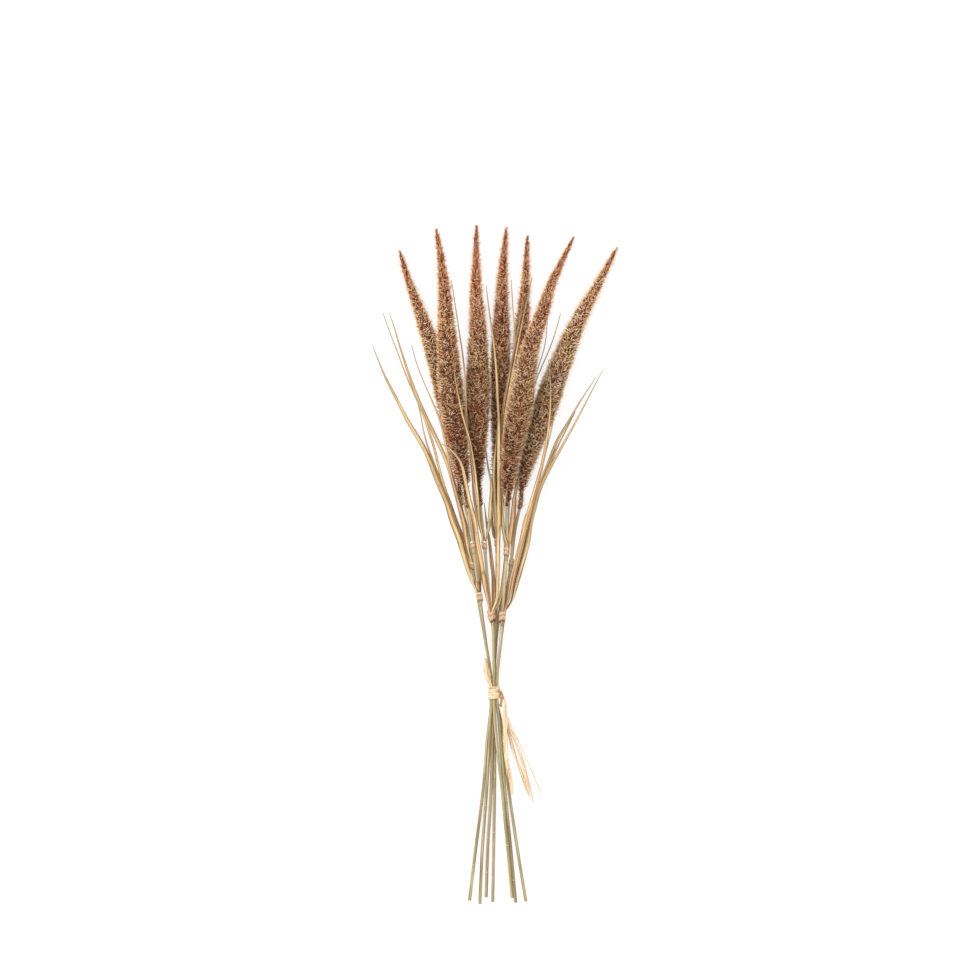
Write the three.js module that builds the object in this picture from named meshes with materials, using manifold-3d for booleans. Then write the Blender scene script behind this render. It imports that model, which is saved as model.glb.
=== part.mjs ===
// Bundle of seven dried grass spikes, tied with raffia and laid down on a table.
// Millimetres. +X is to the right, +Y runs from the cut ends to the tips, +Z is up from the table.
import * as THREE from "three";
import Module from "manifold-3d";

const wasm = await Module();
wasm.setup();

// ---- driving dimensions -------------------------------------------------------------------------
const GRID = 1.0355;                // one unit of the layout grid; its rows are counted tips first
const TIE_COLUMN = 494;             // layout point in the middle of the tie
const TIE_ROW = 692.5;

const STEM_RADIUS = 1.45;
const STEM_SIDES = 7;
const STEM_STEP = 36;               // between the rings of a stem
const JOINT_SWELL = 1.28;           // a stem's joint against the stem itself
const JOINT_LENGTH = 2.4;
const PACK_PITCH = 3.25;            // centre to centre of stems held side by side in the tie
const PACK_HEIGHT = 7.5;            // middle of the packed stems above the table
const PACK_REACH = 8;               // the stems run straight this far each side of the tie's middle
const SPARE_ROWS = 6;               // a stem's own rings keep this far from where something fits it

const GAP = 0.3;                    // between pieces that touch
const SOCKET_DEPTH = 10;            // of a stem's end in the neck of its spike
const HEAD_COLUMNS = 14;            // spikelets and hollows round a spike
const HEAD_STEP = 4.9;              // between the rows of spikelets
const CORE_SHARE = 0.74;            // hollows between the spikelets, as a share of the outer radius
const SPIKELET_LEAN = 0.85;         // how far a spikelet leans to the tip, in rows
const NECK_RADIUS = 3.5;            // narrow bristly stretch between a spike's body and its stem
const REST_ROWS = [380, 405];       // where the two outer spikes are pressed flat on the table
const REST_ANGLE = 0.5;             // half of the pressed arc

const BLADE_THICKNESS = 0.8;
const BLADE_TIP = 0.9;              // width left at the tip
const BLADE_STATIONS = [0, 0.03, 0.06, 0.1, 0.15, 0.22, 0.34, 0.47, 0.61, 0.75, 0.88, 1];
const BLADE_ROOT = 0.6;             // width at the collar against the widest
const BLADE_SETTLE = 0.2;           // share of a blade over which it turns from the stem's side
const BLADE_CLEARANCE = 0.9;        // of a blade's underside over what it lies on
const DRAPE_SAMPLES = 60;
const DRAPE_PASSES = 40;
const COLLAR_SIDES = 8;
const COLLAR_WALL = 0.9;
const COLLAR_FLARE = 0.8;
const COLLAR_LENGTH = 8;

const WRAP_WIDTH = 13;
const WRAP_TURNS = 6;
const WRAP_SEGMENTS = 16;
const WRAP_THICKNESS = 1.1;
const WRAP_GROOVE = 0.45;
const STRIP_THICKNESS = 0.8;
const STRIP_STATIONS = 9;

// ---- colours ------------------------------------------------------------------------------------
const STEM_COLOUR = 0xa39a6e;
const HEAD_COLOUR = 0x96603a;
const LEAF_COLOUR = 0xcda26c;
const RAFFIA_COLOUR = 0xf0d6a6;

// ---- the seven plants, each from tip to cut end: column, row, height above the table ------------
// girth is the spike's outer radius; body and neck are the rows where those two end below.
const left = -PACK_PITCH * Math.sin(Math.PI / 3);
const right = -left;
const plants = [
  {
    girth: 13.5, body: 477, neck: 506, packed: [left, -0.5], joint: 865,
    above: [
      [400.5, 251, 9], [412.3, 286, 11], [423, 319.5, 12.4], [434, 353, 13.2], [444, 386, 13.2],
      [452, 419, 13.2], [456.2, 450, 12.4], [458.6, 476, 11.6], [461, 505, 10.6], [468.6, 534, 10],
      [473.5, 570, 9.2], [478.3, 600, 8.4], [485.2, 640, 7.2],
    ],
    below: [[487.3, 740, 4.7], [483.5, 785, 3.6], [475.5, 850, 2.2], [469.5, 900.5, 1.45]],
  },
  {
    girth: 13.5, body: 480, neck: 508, packed: [left, 0.5], joint: 805,
    above: [
      [436.3, 230, 34], [441, 260, 37], [444, 286, 39.5], [446, 319.5, 41.5], [448, 353, 42],
      [452.4, 402, 42], [457.8, 440, 40], [463, 472, 35.4], [467.6, 503, 29.2], [470.6, 521, 26],
      [475, 560, 20.8], [479.5, 596, 16.8], [485.4, 640, 12.5],
    ],
    below: [[489.6, 740, 7.6], [487, 785, 6], [482.2, 850, 3.3], [479.8, 903.8, 1.45]],
  },
  {
    girth: 13.4, body: 474, neck: 506, packed: [0, 1], joint: 845,
    above: [
      [476.6, 226, 23], [475.8, 286, 26], [478, 336, 27.8], [478, 402, 28], [477.8, 440, 27.4],
      [478.3, 474, 24.6], [480.2, 503, 21.6], [484.5, 545, 19.4], [486.7, 570, 18.2],
      [489.8, 600, 16.4], [492, 616, 15.3], [493.4, 640, 13.8],
    ],
    below: [
      [495, 720, 10.3], [497.9, 752, 9.2], [501.6, 785, 8], [504, 810, 6.9], [507.8, 850, 4.8],
      [512.1, 898, 1.45],
    ],
  },
  {
    girth: 10.7, body: 478, neck: 506, packed: [0, 0], joint: 872,
    above: [
      [506.3, 227.5, 8], [502, 286, 10.2], [501, 336, 10.8], [500, 402, 11], [498.8, 440, 12.2],
      [497, 475, 11.4], [496.8, 503, 10], [497, 543, 9.4], [497, 580, 9],
      [496, 616, 8.5], [494.8, 640, 8.1],
    ],
    below: [[492.4, 740, 6.4], [491.3, 785, 5.2], [487.6, 850, 3], [486.1, 897.2, 1.45]],
  },
  {
    girth: 9.3, body: 460, neck: 500, packed: [0, -1], joint: 832,
    above: [
      [527.5, 236, 7], [525, 286, 9], [522.7, 319.5, 9.3], [520.8, 353, 9.3], [519.6, 402, 9.3],
      [514.4, 440, 8.2], [511.6, 460, 7.6], [508.5, 503, 7.6], [506.6, 543, 7.8],
      [503.5, 580, 7.3],
      [499, 616, 6.2], [496.3, 640, 5.4],
    ],
    below: [[494.8, 740, 3.5], [494.6, 785, 3], [493.6, 850, 2], [492.7, 901.8, 1.45]],
  },
  {
    girth: 13.7, body: 490, neck: 506, packed: [right, 0.5], joint: 880,
    above: [
      [573.6, 237.4, 29], [550.8, 286, 32.5], [540, 319.5, 35], [529, 353, 36.6],
      [521, 402, 37], [513.6, 440, 35.4], [508.8, 472, 31], [507, 503, 24.6], [506.6, 552, 19.8],
      [505.6, 570, 18.4], [503, 606, 15.8], [500.6, 640, 13.2],
    ],
    below: [
      [498.9, 720, 7.8], [501.4, 752, 6.4], [504.5, 785, 4.8], [506.9, 810, 3.9], [510.9, 850, 2.5],
      [515.7, 902.5, 1.45],
    ],
  },
  {
    girth: 13.7, body: 478, neck: 507, packed: [right, -0.5], joint: 842,
    above: [
      [616.8, 248, 8], [597, 286, 10.4], [579, 319.5, 12.4], [565, 353, 13.5], [552.6, 386, 13.6],
      [541.6, 419, 14], [533, 443, 15.4], [526.4, 464, 15.4], [522.6, 480, 14.4], [520.4, 503, 12.6],
      [515, 530, 11], [511, 563, 10.1], [507.7, 586, 9.4], [504, 616, 8.3], [501, 640, 7.5],
    ],
    below: [
      [500.5, 720, 4.6], [504, 752, 4], [508, 785, 3.2], [517.5, 850, 2.1], [525.9, 901.3, 1.45],
    ],
  },
];

// outer radius of a spike from tip (0) to the end of its body (1), as a share of its girth
const PROFILE = [
  [0, 0.06], [0.03, 0.2], [0.14, 0.43], [0.25, 0.57], [0.45, 0.81], [0.63, 1], [0.72, 0.98],
  [0.79, 0.88], [0.865, 0.74], [0.945, 0.58], [0.995, 0.45], [1.02, 0.26],
];

// ---- leaves: the stem, the row of the collar, and each blade from the collar to its tip ---------
// side is the direction round the stem that a blade leaves from; over lists the plants it lies on.
const UP = Math.PI / 2;
const leaves = [
  {
    name: "leaf_low_2", plant: 2, row: 597,
    blades: [
      {
        side: 2.6, width: 4.4, over: [],
        route: [
          [469, 577, 15.6], [456.4, 540, 14.6], [448.6, 510, 13.8], [438.4, 481, 12.6],
          [425.4, 450, 10.8], [409, 420, 8.6], [397.6, 400, 7], [384.4, 375, 5.2],
          [372.6, 345.7, 3.5],
        ],
      },
      {
        side: 3.5, width: 3.4, over: [],
        route: [
          [471, 577, 12], [459.5, 538, 9.2], [451.6, 508, 7], [440, 473, 5.2], [434, 450, 4.4],
          [427, 430, 3.8], [420, 414, 3.2],
        ],
      },
      {
        side: -1.2, width: 3.4, over: [],
        route: [
          [480, 584, 13.6], [478, 560, 14], [474, 530, 15.4], [469.5, 505, 17.4],
          [467, 492, 18.2],
        ],
      },
    ],
  },
  {
    name: "leaf_low_3", plant: 3, row: 616,
    blades: [
      {
        side: 2.5, width: 3.8, over: [1, 2, 3],
        route: [
          [488, 600, 20], [481.6, 570.6, 24], [478.4, 550, 27], [473, 511, 31], [468.4, 490, 34],
          [465.2, 476.5, 36], [461.4, 463.8, 38], [456.4, 455, 38], [449, 449, 37],
          [442, 444.4, 35],
        ],
      },
      {
        side: 1.35, width: 4, over: [3, 4],
        route: [
          [496, 600, 20], [498, 580, 21.4], [500.4, 545, 24], [499.8, 505, 27], [498.8, 478.6, 29],
          [498, 440, 31], [497.6, 400, 31], [496.5, 370, 30], [494, 345, 29], [489, 310, 28],
          [486, 286, 28],
        ],
      },
      {
        side: 0.2, width: 3.4, over: [],
        route: [[499, 602, 14.4], [502, 588, 13.6], [504, 570, 13.4], [505, 552, 13.6]],
      },
      {
        side: -0.6, width: 3.2, over: [],
        route: [
          [493.6, 598, 13.2], [493.4, 575.7, 13.4], [490.4, 545, 14.4], [490, 510, 17],
          [490, 482, 19.6], [489.4, 472, 20.2],
        ],
      },
    ],
  },
  {
    name: "leaf_low_6", plant: 6, row: 617,
    blades: [
      {
        side: 0.7, width: 4.4, over: [7],
        route: [
          [507.5, 600, 16.4], [511.6, 575.7, 16.4], [516.3, 558, 16.4], [521.4, 542.6, 16.6],
          [525, 518.5, 17.4], [531, 498, 18.6], [538, 482.8, 20], [541.5, 462.9, 23],
          [544.6, 443.8, 26], [549.7, 418, 28], [550.4, 381, 29], [548.5, 360, 28],
        ],
      },
      {
        side: 0, width: 4.2, over: [],
        route: [
          [510.5, 605, 14], [515.3, 588.5, 13.4], [521.4, 565.5, 13], [527.6, 545, 13],
          [535, 510.8, 12.6], [542.8, 484, 12], [567, 436, 10], [582.9, 407.4, 8],
          [602.5, 370.4, 5.5],
        ],
      },
      {
        side: -0.7, width: 3.4, over: [],
        route: [
          [509.5, 605, 11.4], [514.5, 588, 10.6], [520.5, 562, 9.6], [527.5, 538, 9], [534, 512, 8.6],
          [541, 487, 8], [554, 452, 7.4], [565.7, 428, 6.8], [576, 408.7, 6], [596.4, 376.6, 4.5],
        ],
      },
    ],
  },
  {
    name: "leaf_top_1", plant: 1, row: 567.5,
    blades: [
      {
        side: 2.6, width: 4.2, over: [],
        route: [
          [465.4, 550, 11.6], [456.6, 512, 11], [449, 478, 10.2], [445, 462, 9.8],
          [438.6, 445, 9.4], [427, 418, 8.6], [414.6, 388, 7.6], [402, 351, 6.2], [395.5, 329, 5.2],
          [389, 313, 4.6],
        ],
      },
      {
        side: 3.4, width: 3.6, over: [],
        route: [
          [466.4, 550, 9.6], [455, 510, 9], [444.4, 478, 8.4], [434, 446, 7.6], [422, 412, 6.6],
          [405.7, 374.4, 5.4], [397.4, 352, 4.6], [391, 335.5, 4], [382.8, 312.6, 3.2],
        ],
      },
      {
        side: 1.9, width: 3.2, over: [1],
        route: [
          [467.6, 548, 13], [459, 508, 14], [453, 478, 15], [450, 465, 15], [445.4, 448, 15],
          [436.6, 420, 14], [430, 400, 12], [423.6, 383, 10.6], [416.8, 364, 9], [411.5, 345, 8],
        ],
      },
    ],
  },
  {
    name: "leaf_top_2", plant: 2, row: 545,
    blades: [
      {
        side: -0.9, width: 3, over: [],
        route: [[471.4, 527, 20.8], [468, 508, 21.8], [465.4, 487, 22.4]],
      },
    ],
  },
  {
    name: "leaf_top_3", plant: 3, row: 545,
    blades: [
      {
        side: 2.2, width: 3.4, over: [2, 3],
        route: [
          [480, 528, 24], [477, 505, 28], [474, 480, 33], [471.5, 457, 38], [465.9, 433, 43],
          [461.8, 415, 47], [459.3, 400, 50], [455.5, 380, 52], [453.5, 360, 53],
        ],
      },
      {
        side: 1.2, width: 3, over: [2, 3],
        route: [
          [482, 526, 23.6], [479, 500, 27], [476, 475, 31], [472.5, 452, 35], [468.6, 428, 38],
          [466.4, 405, 40], [465.6, 386.5, 41], [463.8, 364, 41], [459.8, 335.5, 40],
          [456, 310, 38], [451.5, 281, 36],
        ],
      },
    ],
  },
  {
    name: "leaf_top_4", plant: 4, row: 543,
    blades: [
      {
        side: 1, width: 3.8, over: [4, 5],
        route: [
          [499.4, 528, 12.6], [501, 505, 13.4], [502.5, 480, 16], [506, 440, 19], [509, 400, 21],
          [512, 370, 22], [514.6, 340, 22], [513, 310, 21], [511, 280, 19],
        ],
      },
      {
        side: 1.9, width: 3.4, over: [4],
        route: [[495, 525, 14], [494, 503, 17], [493.8, 475, 20], [494.6, 450, 23], [496.6, 428, 24]],
      },
    ],
  },
  {
    name: "leaf_top_5", plant: 5, row: 548,
    blades: [
      { side: 0.3, width: 3, over: [], route: [[510.5, 530, 8.6], [513.5, 508, 8], [515, 490, 7]] },
    ],
  },
  {
    name: "leaf_top_6", plant: 6, row: 552,
    blades: [
      {
        side: 2.2, width: 3.4, over: [4],
        route: [
          [503.4, 534, 22], [500.6, 514, 22.6], [499.6, 490, 23.4], [499.4, 460, 25],
          [500.6, 430, 26], [503.4, 400, 26], [508, 375, 26], [513.4, 355, 26], [518, 330, 26],
          [521.4, 310, 25], [524.6, 278, 22],
        ],
      },
      {
        side: 1.5, width: 3, over: [4],
        route: [
          [504.4, 534, 22.6], [501.8, 514, 22.4], [500.8, 490, 22.6], [500.4, 460, 24.6],
          [502, 430, 26.4], [505.4, 405, 27], [510.4, 375, 27.6], [516.4, 350, 28], [522.4, 322, 30],
          [532, 278, 31],
        ],
      },
      {
        side: 0.4, width: 3, over: [],
        route: [[510.8, 536, 21.6], [513.6, 510, 22], [517.4, 486, 22.2], [518.6, 470, 22.4]],
      },
    ],
  },
  {
    name: "leaf_top_7", plant: 7, row: 563,
    blades: [
      {
        side: 1.4, width: 3.2, over: [],
        route: [
          [512.4, 543, 14], [514.8, 521, 15.8], [516, 500, 17.6], [517.2, 475, 20.4],
          [520, 458, 22.4], [524.8, 440, 23.4], [534, 402, 22.6], [546, 363, 20.4], [553, 340, 18],
          [561.6, 312, 14],
        ],
      },
      {
        side: 1.9, width: 2.8, over: [],
        route: [
          [511.6, 543, 14.4], [514.2, 521, 16], [515.6, 500, 17.8], [517, 475, 20.6],
          [519.8, 458, 22.4], [524.6, 440, 23.4], [533, 402, 22.6], [543, 363, 21],
          [547, 340, 19.4], [547, 321.5, 18],
        ],
      },
    ],
  },
];

// ---- raffia ends: half widths follow each route -------------------------------------------------
const strips = [
  { width: 3.6, lean: 0.25, route: [[500.4, 690, 8], [503.2, 697, 9.4], [504.4, 706, 9.6],
    [504.8, 717, 9.4], [503.8, 733, 9.6], [506, 760, 8.8], [509.6, 780, 6.6], [512, 795, 5.2]] },
  { width: 2.8, lean: -0.3, route: [[500.6, 694, 6.6], [503.6, 706, 7.4], [507, 722, 6],
    [514.6, 736, 4], [519, 762, 2.8], [526.4, 780, 2.4], [533, 803.4, 2]] },
  { width: 1.6, lean: 0.4, route: [[503.4, 704, 8.4], [507, 716, 8], [514, 730, 7.2],
    [521.6, 747, 6], [531, 768, 4.6], [538, 785, 3.4], [542.5, 795, 2.6]] },
  { width: 4.8, lean: 0.2, route: [[491, 688, 13], [489, 681, 13.6], [486.2, 669, 15],
    [484.9, 658, 16.6]] },
];
const KNOT = { at: [500.8, 697, 8], size: [3.6, 10, 4.8], lean: 0.2 };

// ---- small helpers ------------------------------------------------------------------------------
function plan(column, row, height) {
  return new THREE.Vector3((column - TIE_COLUMN) * GRID, (TIE_ROW - row) * GRID, height);
}

// the same value for the same two whole numbers, spread over 0 ... 1
function scatter(a, b) {
  const wave = Math.sin(a * 127.1 + b * 311.7) * 43758.5453;
  return wave - Math.floor(wave);
}

function interpolate(table, at) {
  let k = 0;
  while (k < table.length - 2 && table[k + 1][0] < at) {
    k += 1;
  }
  const share = (at - table[k][0]) / (table[k + 1][0] - table[k][0]);
  return THREE.MathUtils.lerp(table[k][1], table[k + 1][1], THREE.MathUtils.clamp(share, 0, 1));
}

// smooth curve through keys and values that never overshoots them
function monotone(keys, values) {
  const span = keys.slice(1).map((key, i) => key - keys[i]);
  const slope = span.map((h, i) => (values[i + 1] - values[i]) / h);
  const bend = keys.map((key, i) => {
    if (i === 0) {
      return slope[0];
    }
    if (i === keys.length - 1) {
      return slope[i - 1];
    }
    if (slope[i - 1] * slope[i] <= 0) {
      return 0;
    }
    const near = 2 * span[i] + span[i - 1];
    const far = span[i] + 2 * span[i - 1];
    return (near + far) / (near / slope[i - 1] + far / slope[i]);
  });
  return (key) => {
    let i = 0;
    while (i < span.length - 1 && keys[i + 1] < key) {
      i += 1;
    }
    const t = (key - keys[i]) / span[i];
    const rest = 1 - t;
    return rest * rest * (1 + 2 * t) * values[i] + rest * rest * t * span[i] * bend[i]
      + t * t * (3 - 2 * t) * values[i + 1] - t * t * rest * span[i] * bend[i + 1];
  };
}

// directions across a path: side is level, up leans with the path
function acrossPath(tangent) {
  const side = new THREE.Vector3().crossVectors(tangent, new THREE.Vector3(0, 0, 1)).normalize();
  const up = new THREE.Vector3().crossVectors(side, tangent).normalize();
  return { side, up };
}

function around(centre, frame, radius, angle) {
  return centre.clone()
    .addScaledVector(frame.side, radius * Math.cos(angle))
    .addScaledVector(frame.up, radius * Math.sin(angle));
}

// ---- meshes as lists of points and triangles ----------------------------------------------------
class Shape {
  constructor() {
    this.points = [];
    this.faces = [];
  }

  ring(points) {
    const first = this.points.length;
    this.points.push(...points);
    return points.map((point, i) => first + i);
  }

  // skin between two rings of as many points, the second further along the path;
  // a thin blade's underside is split the same way as its top, so that the two never cross
  bridge(from, to, underside) {
    const n = from.length;
    for (let i = 0; i < n; i += 1) {
      const j = (i + 1) % n;
      if (i === underside) {
        this.faces.push([from[i], to[i], from[j]], [from[j], to[i], to[j]]);
      } else {
        this.faces.push([from[i], to[j], from[j]], [from[i], to[i], to[j]]);
      }
    }
  }

  // end of a tube, facing back along the path or on along it
  cap(ring, facingOn) {
    for (let i = 1; i < ring.length - 1; i += 1) {
      const face = [ring[0], ring[i], ring[i + 1]];
      this.faces.push(facingOn ? face.reverse() : face);
    }
  }

  geometry() {
    const buffer = new THREE.BufferGeometry();
    const flat = this.points.flatMap((point) => [point.x, point.y, point.z]);
    buffer.setAttribute("position", new THREE.Float32BufferAttribute(flat, 3));
    buffer.setIndex(this.faces.flat());
    return buffer;
  }

  solid() {
    const mesh = new wasm.Mesh({
      numProp: 3,
      vertProperties: new Float32Array(this.points.flatMap((point) => [point.x, point.y, point.z])),
      triVerts: new Uint32Array(this.faces.flat()),
    });
    return new wasm.Manifold(mesh);
  }
}

function tube(rings, underside) {
  const shape = new Shape();
  const made = rings.map((ring) => shape.ring(ring));
  for (let k = 0; k < made.length - 1; k += 1) {
    shape.bridge(made[k], made[k + 1], underside);
  }
  shape.cap(made[0], false);
  shape.cap(made[made.length - 1], true);
  return shape;
}

// shapes grown together into one body; a hollow sealed between them is filled
function fused(shapes) {
  const bodies = wasm.Manifold.union(shapes.map((shape) => shape.solid())).decompose();
  const largest = bodies.reduce((a, b) => (b.volume() > a.volume() ? b : a));
  const whole = largest.getMesh();
  const buffer = new THREE.BufferGeometry();
  buffer.setAttribute("position", new THREE.Float32BufferAttribute(whole.vertProperties, 3));
  buffer.setIndex(Array.from(whole.triVerts));
  return buffer;
}

// ---- plant axes ---------------------------------------------------------------------------------
function axisOf(plant) {
  const [across, level] = plant.packed;
  const column = TIE_COLUMN + across / GRID;
  const height = PACK_HEIGHT + level * PACK_PITCH;
  const reach = PACK_REACH / GRID;
  const held = [[column, TIE_ROW - reach, height], [column, TIE_ROW + reach, height]];
  const route = [...plant.above, ...held, ...plant.below];
  const rows = route.map((key) => key[1]);
  const columnAt = monotone(rows, route.map((key) => key[0]));
  const heightAt = monotone(rows, route.map((key) => key[2]));
  const at = (row) => plan(columnAt(row), row, heightAt(row));
  return {
    at,
    tip: rows[0],
    end: rows[rows.length - 1],
    // across the axis, with the path running up to the tip
    frame: (row) => acrossPath(at(row - 0.5).sub(at(row + 0.5)).normalize()),
  };
}

const axes = plants.map(axisOf);

function headRadius(index, row) {
  const plant = plants[index];
  const share = (row - axes[index].tip) / (plant.body - axes[index].tip);
  return Math.max(interpolate(PROFILE, share) * plant.girth, share > 0.5 ? NECK_RADIUS : 0);
}

// height of the top of the listed plants over one point of the table
function topOf(list, point) {
  const row = TIE_ROW - point.y / GRID;
  let top = 0;
  for (const number of list) {
    const axis = axes[number - 1];
    if (row > axis.tip && row < axis.end) {
      const centre = axis.at(row);
      const frame = axis.frame(row);
      const radius = row < plants[number - 1].neck ? headRadius(number - 1, row) : STEM_RADIUS;
      const off = (point.x - centre.x) * frame.side.x;
      if (Math.abs(off) < radius) {
        top = Math.max(top, centre.z + Math.sqrt(radius * radius - off * off));
      }
    }
  }
  return top;
}

// ---- stems --------------------------------------------------------------------------------------
function stem(index) {
  const axis = axes[index];
  const plant = plants[index];
  const top = plant.neck - SOCKET_DEPTH / GRID;
  const count = Math.ceil(((axis.end - top) * GRID) / STEM_STEP);
  const half = JOINT_LENGTH / GRID;
  const stations = [[plant.joint - half, 1], [plant.joint, JOINT_SWELL], [plant.joint + half, 1]];
  for (let k = 0; k <= count; k += 1) {
    const row = THREE.MathUtils.lerp(axis.end, top, k / count);
    if (Math.abs(row - plant.joint) > 2 * half) {
      stations.push([row, 1]);
    }
  }
  // a stem is straight inside whatever fits round it: its neck, its collars and the tie
  const spans = [[plant.neck, top], [TIE_ROW + PACK_REACH / GRID, TIE_ROW - PACK_REACH / GRID]];
  const sleeve = COLLAR_LENGTH / GRID / 2;
  leaves.filter((leaf) => leaf.plant === index + 1).forEach((leaf) => {
    spans.push([leaf.row + sleeve, leaf.row - sleeve]);
  });
  const free = stations.filter(([row]) => (
    spans.every(([below, above]) => row > below + SPARE_ROWS || row < above - SPARE_ROWS)
  ));
  const kept = [...free, ...spans.flat().map((row) => [row, 1])].sort((a, b) => b[0] - a[0]);
  const rings = kept.map(([row, swell]) => {
    const frame = axis.frame(row);
    return Array.from({ length: STEM_SIDES }, (unused, i) => {
      const angle = ((i + 0.5) / STEM_SIDES) * 2 * Math.PI;
      return around(axis.at(row), frame, STEM_RADIUS * swell, angle);
    });
  });
  return tube(rings, -1).geometry();
}

// ---- spikes: four-sided spikelets leaning to the tip, with hollows between them -----------------
function head(index) {
  const axis = axes[index];
  const plant = plants[index];
  const pressed = index === 0 || index === plants.length - 1;
  const shape = new Shape();
  const last = Math.round(((plant.neck - axis.tip) * GRID) / HEAD_STEP);
  const stepRows = (plant.neck - axis.tip) / last;
  const rings = [];
  for (let k = 0; k < last; k += 1) {
    const row = plant.neck - k * stepRows;
    const ring = [];
    for (let i = 0; i < HEAD_COLUMNS; i += 1) {
      const raised = (i + k) % 2 === 0 && k > 0;
      const angle = ((i + 0.5) / HEAD_COLUMNS) * 2 * Math.PI + 0.12 * (scatter(i, k) - 0.5);
      const lean = raised ? SPIKELET_LEAN * (0.7 + 0.3 * scatter(k, i)) : 0;
      const base = headRadius(index, row);
      const share = raised ? 0.88 + 0.12 * scatter(i + index, k) : CORE_SHARE;
      const at = row - lean * stepRows;
      const least = row > plant.body ? STEM_RADIUS + 1 : 0;
      const point = around(axis.at(at), axis.frame(at), Math.max(base * share, least), angle);
      const fromBelow = Math.abs(angle - 1.5 * Math.PI);
      if (pressed && fromBelow < REST_ANGLE && row > REST_ROWS[0] && row < REST_ROWS[1]) {
        point.z = 0;
      }
      point.z = Math.max(point.z, 0);
      ring.push(point);
    }
    rings.push(shape.ring(ring));
  }
  for (let k = 0; k < rings.length - 1; k += 1) {
    for (let i = 0; i < HEAD_COLUMNS; i += 1) {
      const j = (i + 1) % HEAD_COLUMNS;
      const [a, b, c, d] = [rings[k][i], rings[k][j], rings[k + 1][j], rings[k + 1][i]];
      // the quad is split from hollow to hollow, so that each half holds one spikelet
      if ((i + k) % 2 === 0) {
        shape.faces.push([a, d, b], [b, d, c]);
      } else {
        shape.faces.push([a, c, b], [a, d, c]);
      }
    }
  }
  const tip = shape.ring([axis.at(axis.tip)])[0];
  const highest = rings[rings.length - 1];
  for (let i = 0; i < HEAD_COLUMNS; i += 1) {
    shape.faces.push([highest[i], tip, highest[(i + 1) % HEAD_COLUMNS]]);
  }
  // the plain hole that the stem's end stands in
  const bore = [0, (SOCKET_DEPTH + GAP) / GRID].map((depth) => shape.ring(
    rings[0].map((unused, i) => {
      const row = plant.neck - depth;
      const angle = ((i + 0.5) / HEAD_COLUMNS) * 2 * Math.PI;
      return around(axis.at(row), axis.frame(row), STEM_RADIUS + GAP, angle);
    }),
  ));
  shape.bridge(bore[0], rings[0], -1);
  shape.bridge(bore[1], bore[0], -1);
  shape.cap(bore[1], false);
  return shape.geometry();
}

// ---- leaves -------------------------------------------------------------------------------------
function collar(axis, row) {
  const inner = STEM_RADIUS + GAP;
  const outer = inner + COLLAR_WALL;
  const half = COLLAR_LENGTH / GRID / 2;
  const shape = new Shape();
  const ringAt = (at, radius) => shape.ring(Array.from({ length: COLLAR_SIDES }, (unused, i) => {
    const angle = (i / COLLAR_SIDES) * 2 * Math.PI;
    return around(axis.at(at), axis.frame(at), radius, angle);
  }));
  const loops = [
    ringAt(row + half, inner), ringAt(row + half, outer),
    ringAt(row - half, outer + COLLAR_FLARE), ringAt(row - half, inner),
  ];
  loops.forEach((loop, k) => {
    shape.bridge(loop, loops[(k + 1) % loops.length], -1);
  });
  return shape;
}

function blade(leaf, spec) {
  const axis = axes[leaf.plant - 1];
  const rise = COLLAR_LENGTH / GRID / 2;
  const outward = STEM_RADIUS + GAP + COLLAR_WALL / 2;
  const root = (row) => around(axis.at(row), axis.frame(row), outward, spec.side);
  const start = [root(leaf.row - rise * 0.1), root(leaf.row - rise * 1.2)];
  const route = [...start, ...spec.route.map(([column, row, height]) => plan(column, row, height))];
  const curve = new THREE.CatmullRomCurve3(route, false, "centripetal");
  const fine = curve.getSpacedPoints(DRAPE_SAMPLES);
  if (spec.over.length > 0) {
    // the blade lies taut over what is under it
    const floor = fine.map((point) => {
      const edge = new THREE.Vector3(spec.width / 2 + GAP, 0, 0);
      const under = [point, point.clone().add(edge), point.clone().sub(edge)];
      return Math.max(...under.map((place) => topOf(spec.over, place))) + BLADE_CLEARANCE;
    });
    for (let k = 4; k < fine.length; k += 1) {
      fine[k].z = Math.max(fine[k].z, floor[k]);
    }
    for (let pass = 0; pass < DRAPE_PASSES; pass += 1) {
      for (let k = 4; k < fine.length - 1; k += 1) {
        fine[k].z = Math.max(fine[k].z, (fine[k - 1].z + fine[k + 1].z) / 2);
      }
    }
  }
  const laid = new THREE.CatmullRomCurve3(fine, false, "centripetal");
  // at the collar the ridge faces out from the stem; further on it faces up, or down if it began so
  const first = spec.side - UP;
  const final = Math.sin(spec.side) < 0 ? Math.sign(first) * Math.PI : 0;
  const rings = [];
  for (const t of BLADE_STATIONS) {
    const centre = laid.getPointAt(t);
    const frame = acrossPath(laid.getTangentAt(t));
    const turn = THREE.MathUtils.lerp(first, final, THREE.MathUtils.smoothstep(t, 0, BLADE_SETTLE));
    const width = THREE.MathUtils.lerp(spec.width, BLADE_TIP, Math.pow(t, 1.6));
    const opening = THREE.MathUtils.lerp(BLADE_ROOT, 1, THREE.MathUtils.smoothstep(t, 0.04, 0.2));
    const half = (width * opening) / 2;
    const across = frame.side.clone().multiplyScalar(Math.cos(turn))
      .addScaledVector(frame.up, Math.sin(turn));
    const out = frame.up.clone().multiplyScalar(Math.cos(turn))
      .addScaledVector(frame.side, -Math.sin(turn));
    const ridge = BLADE_THICKNESS * THREE.MathUtils.lerp(1.1, 0.8, t);
    rings.push([
      centre.clone().addScaledVector(across, half),
      centre.clone().addScaledVector(out, ridge),
      centre.clone().addScaledVector(across, -half),
    ]);
  }
  return tube(rings, 2);
}

function leafNode(leaf) {
  const axis = axes[leaf.plant - 1];
  return fused([collar(axis, leaf.row), ...leaf.blades.map((spec) => blade(leaf, spec))]);
}

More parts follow.
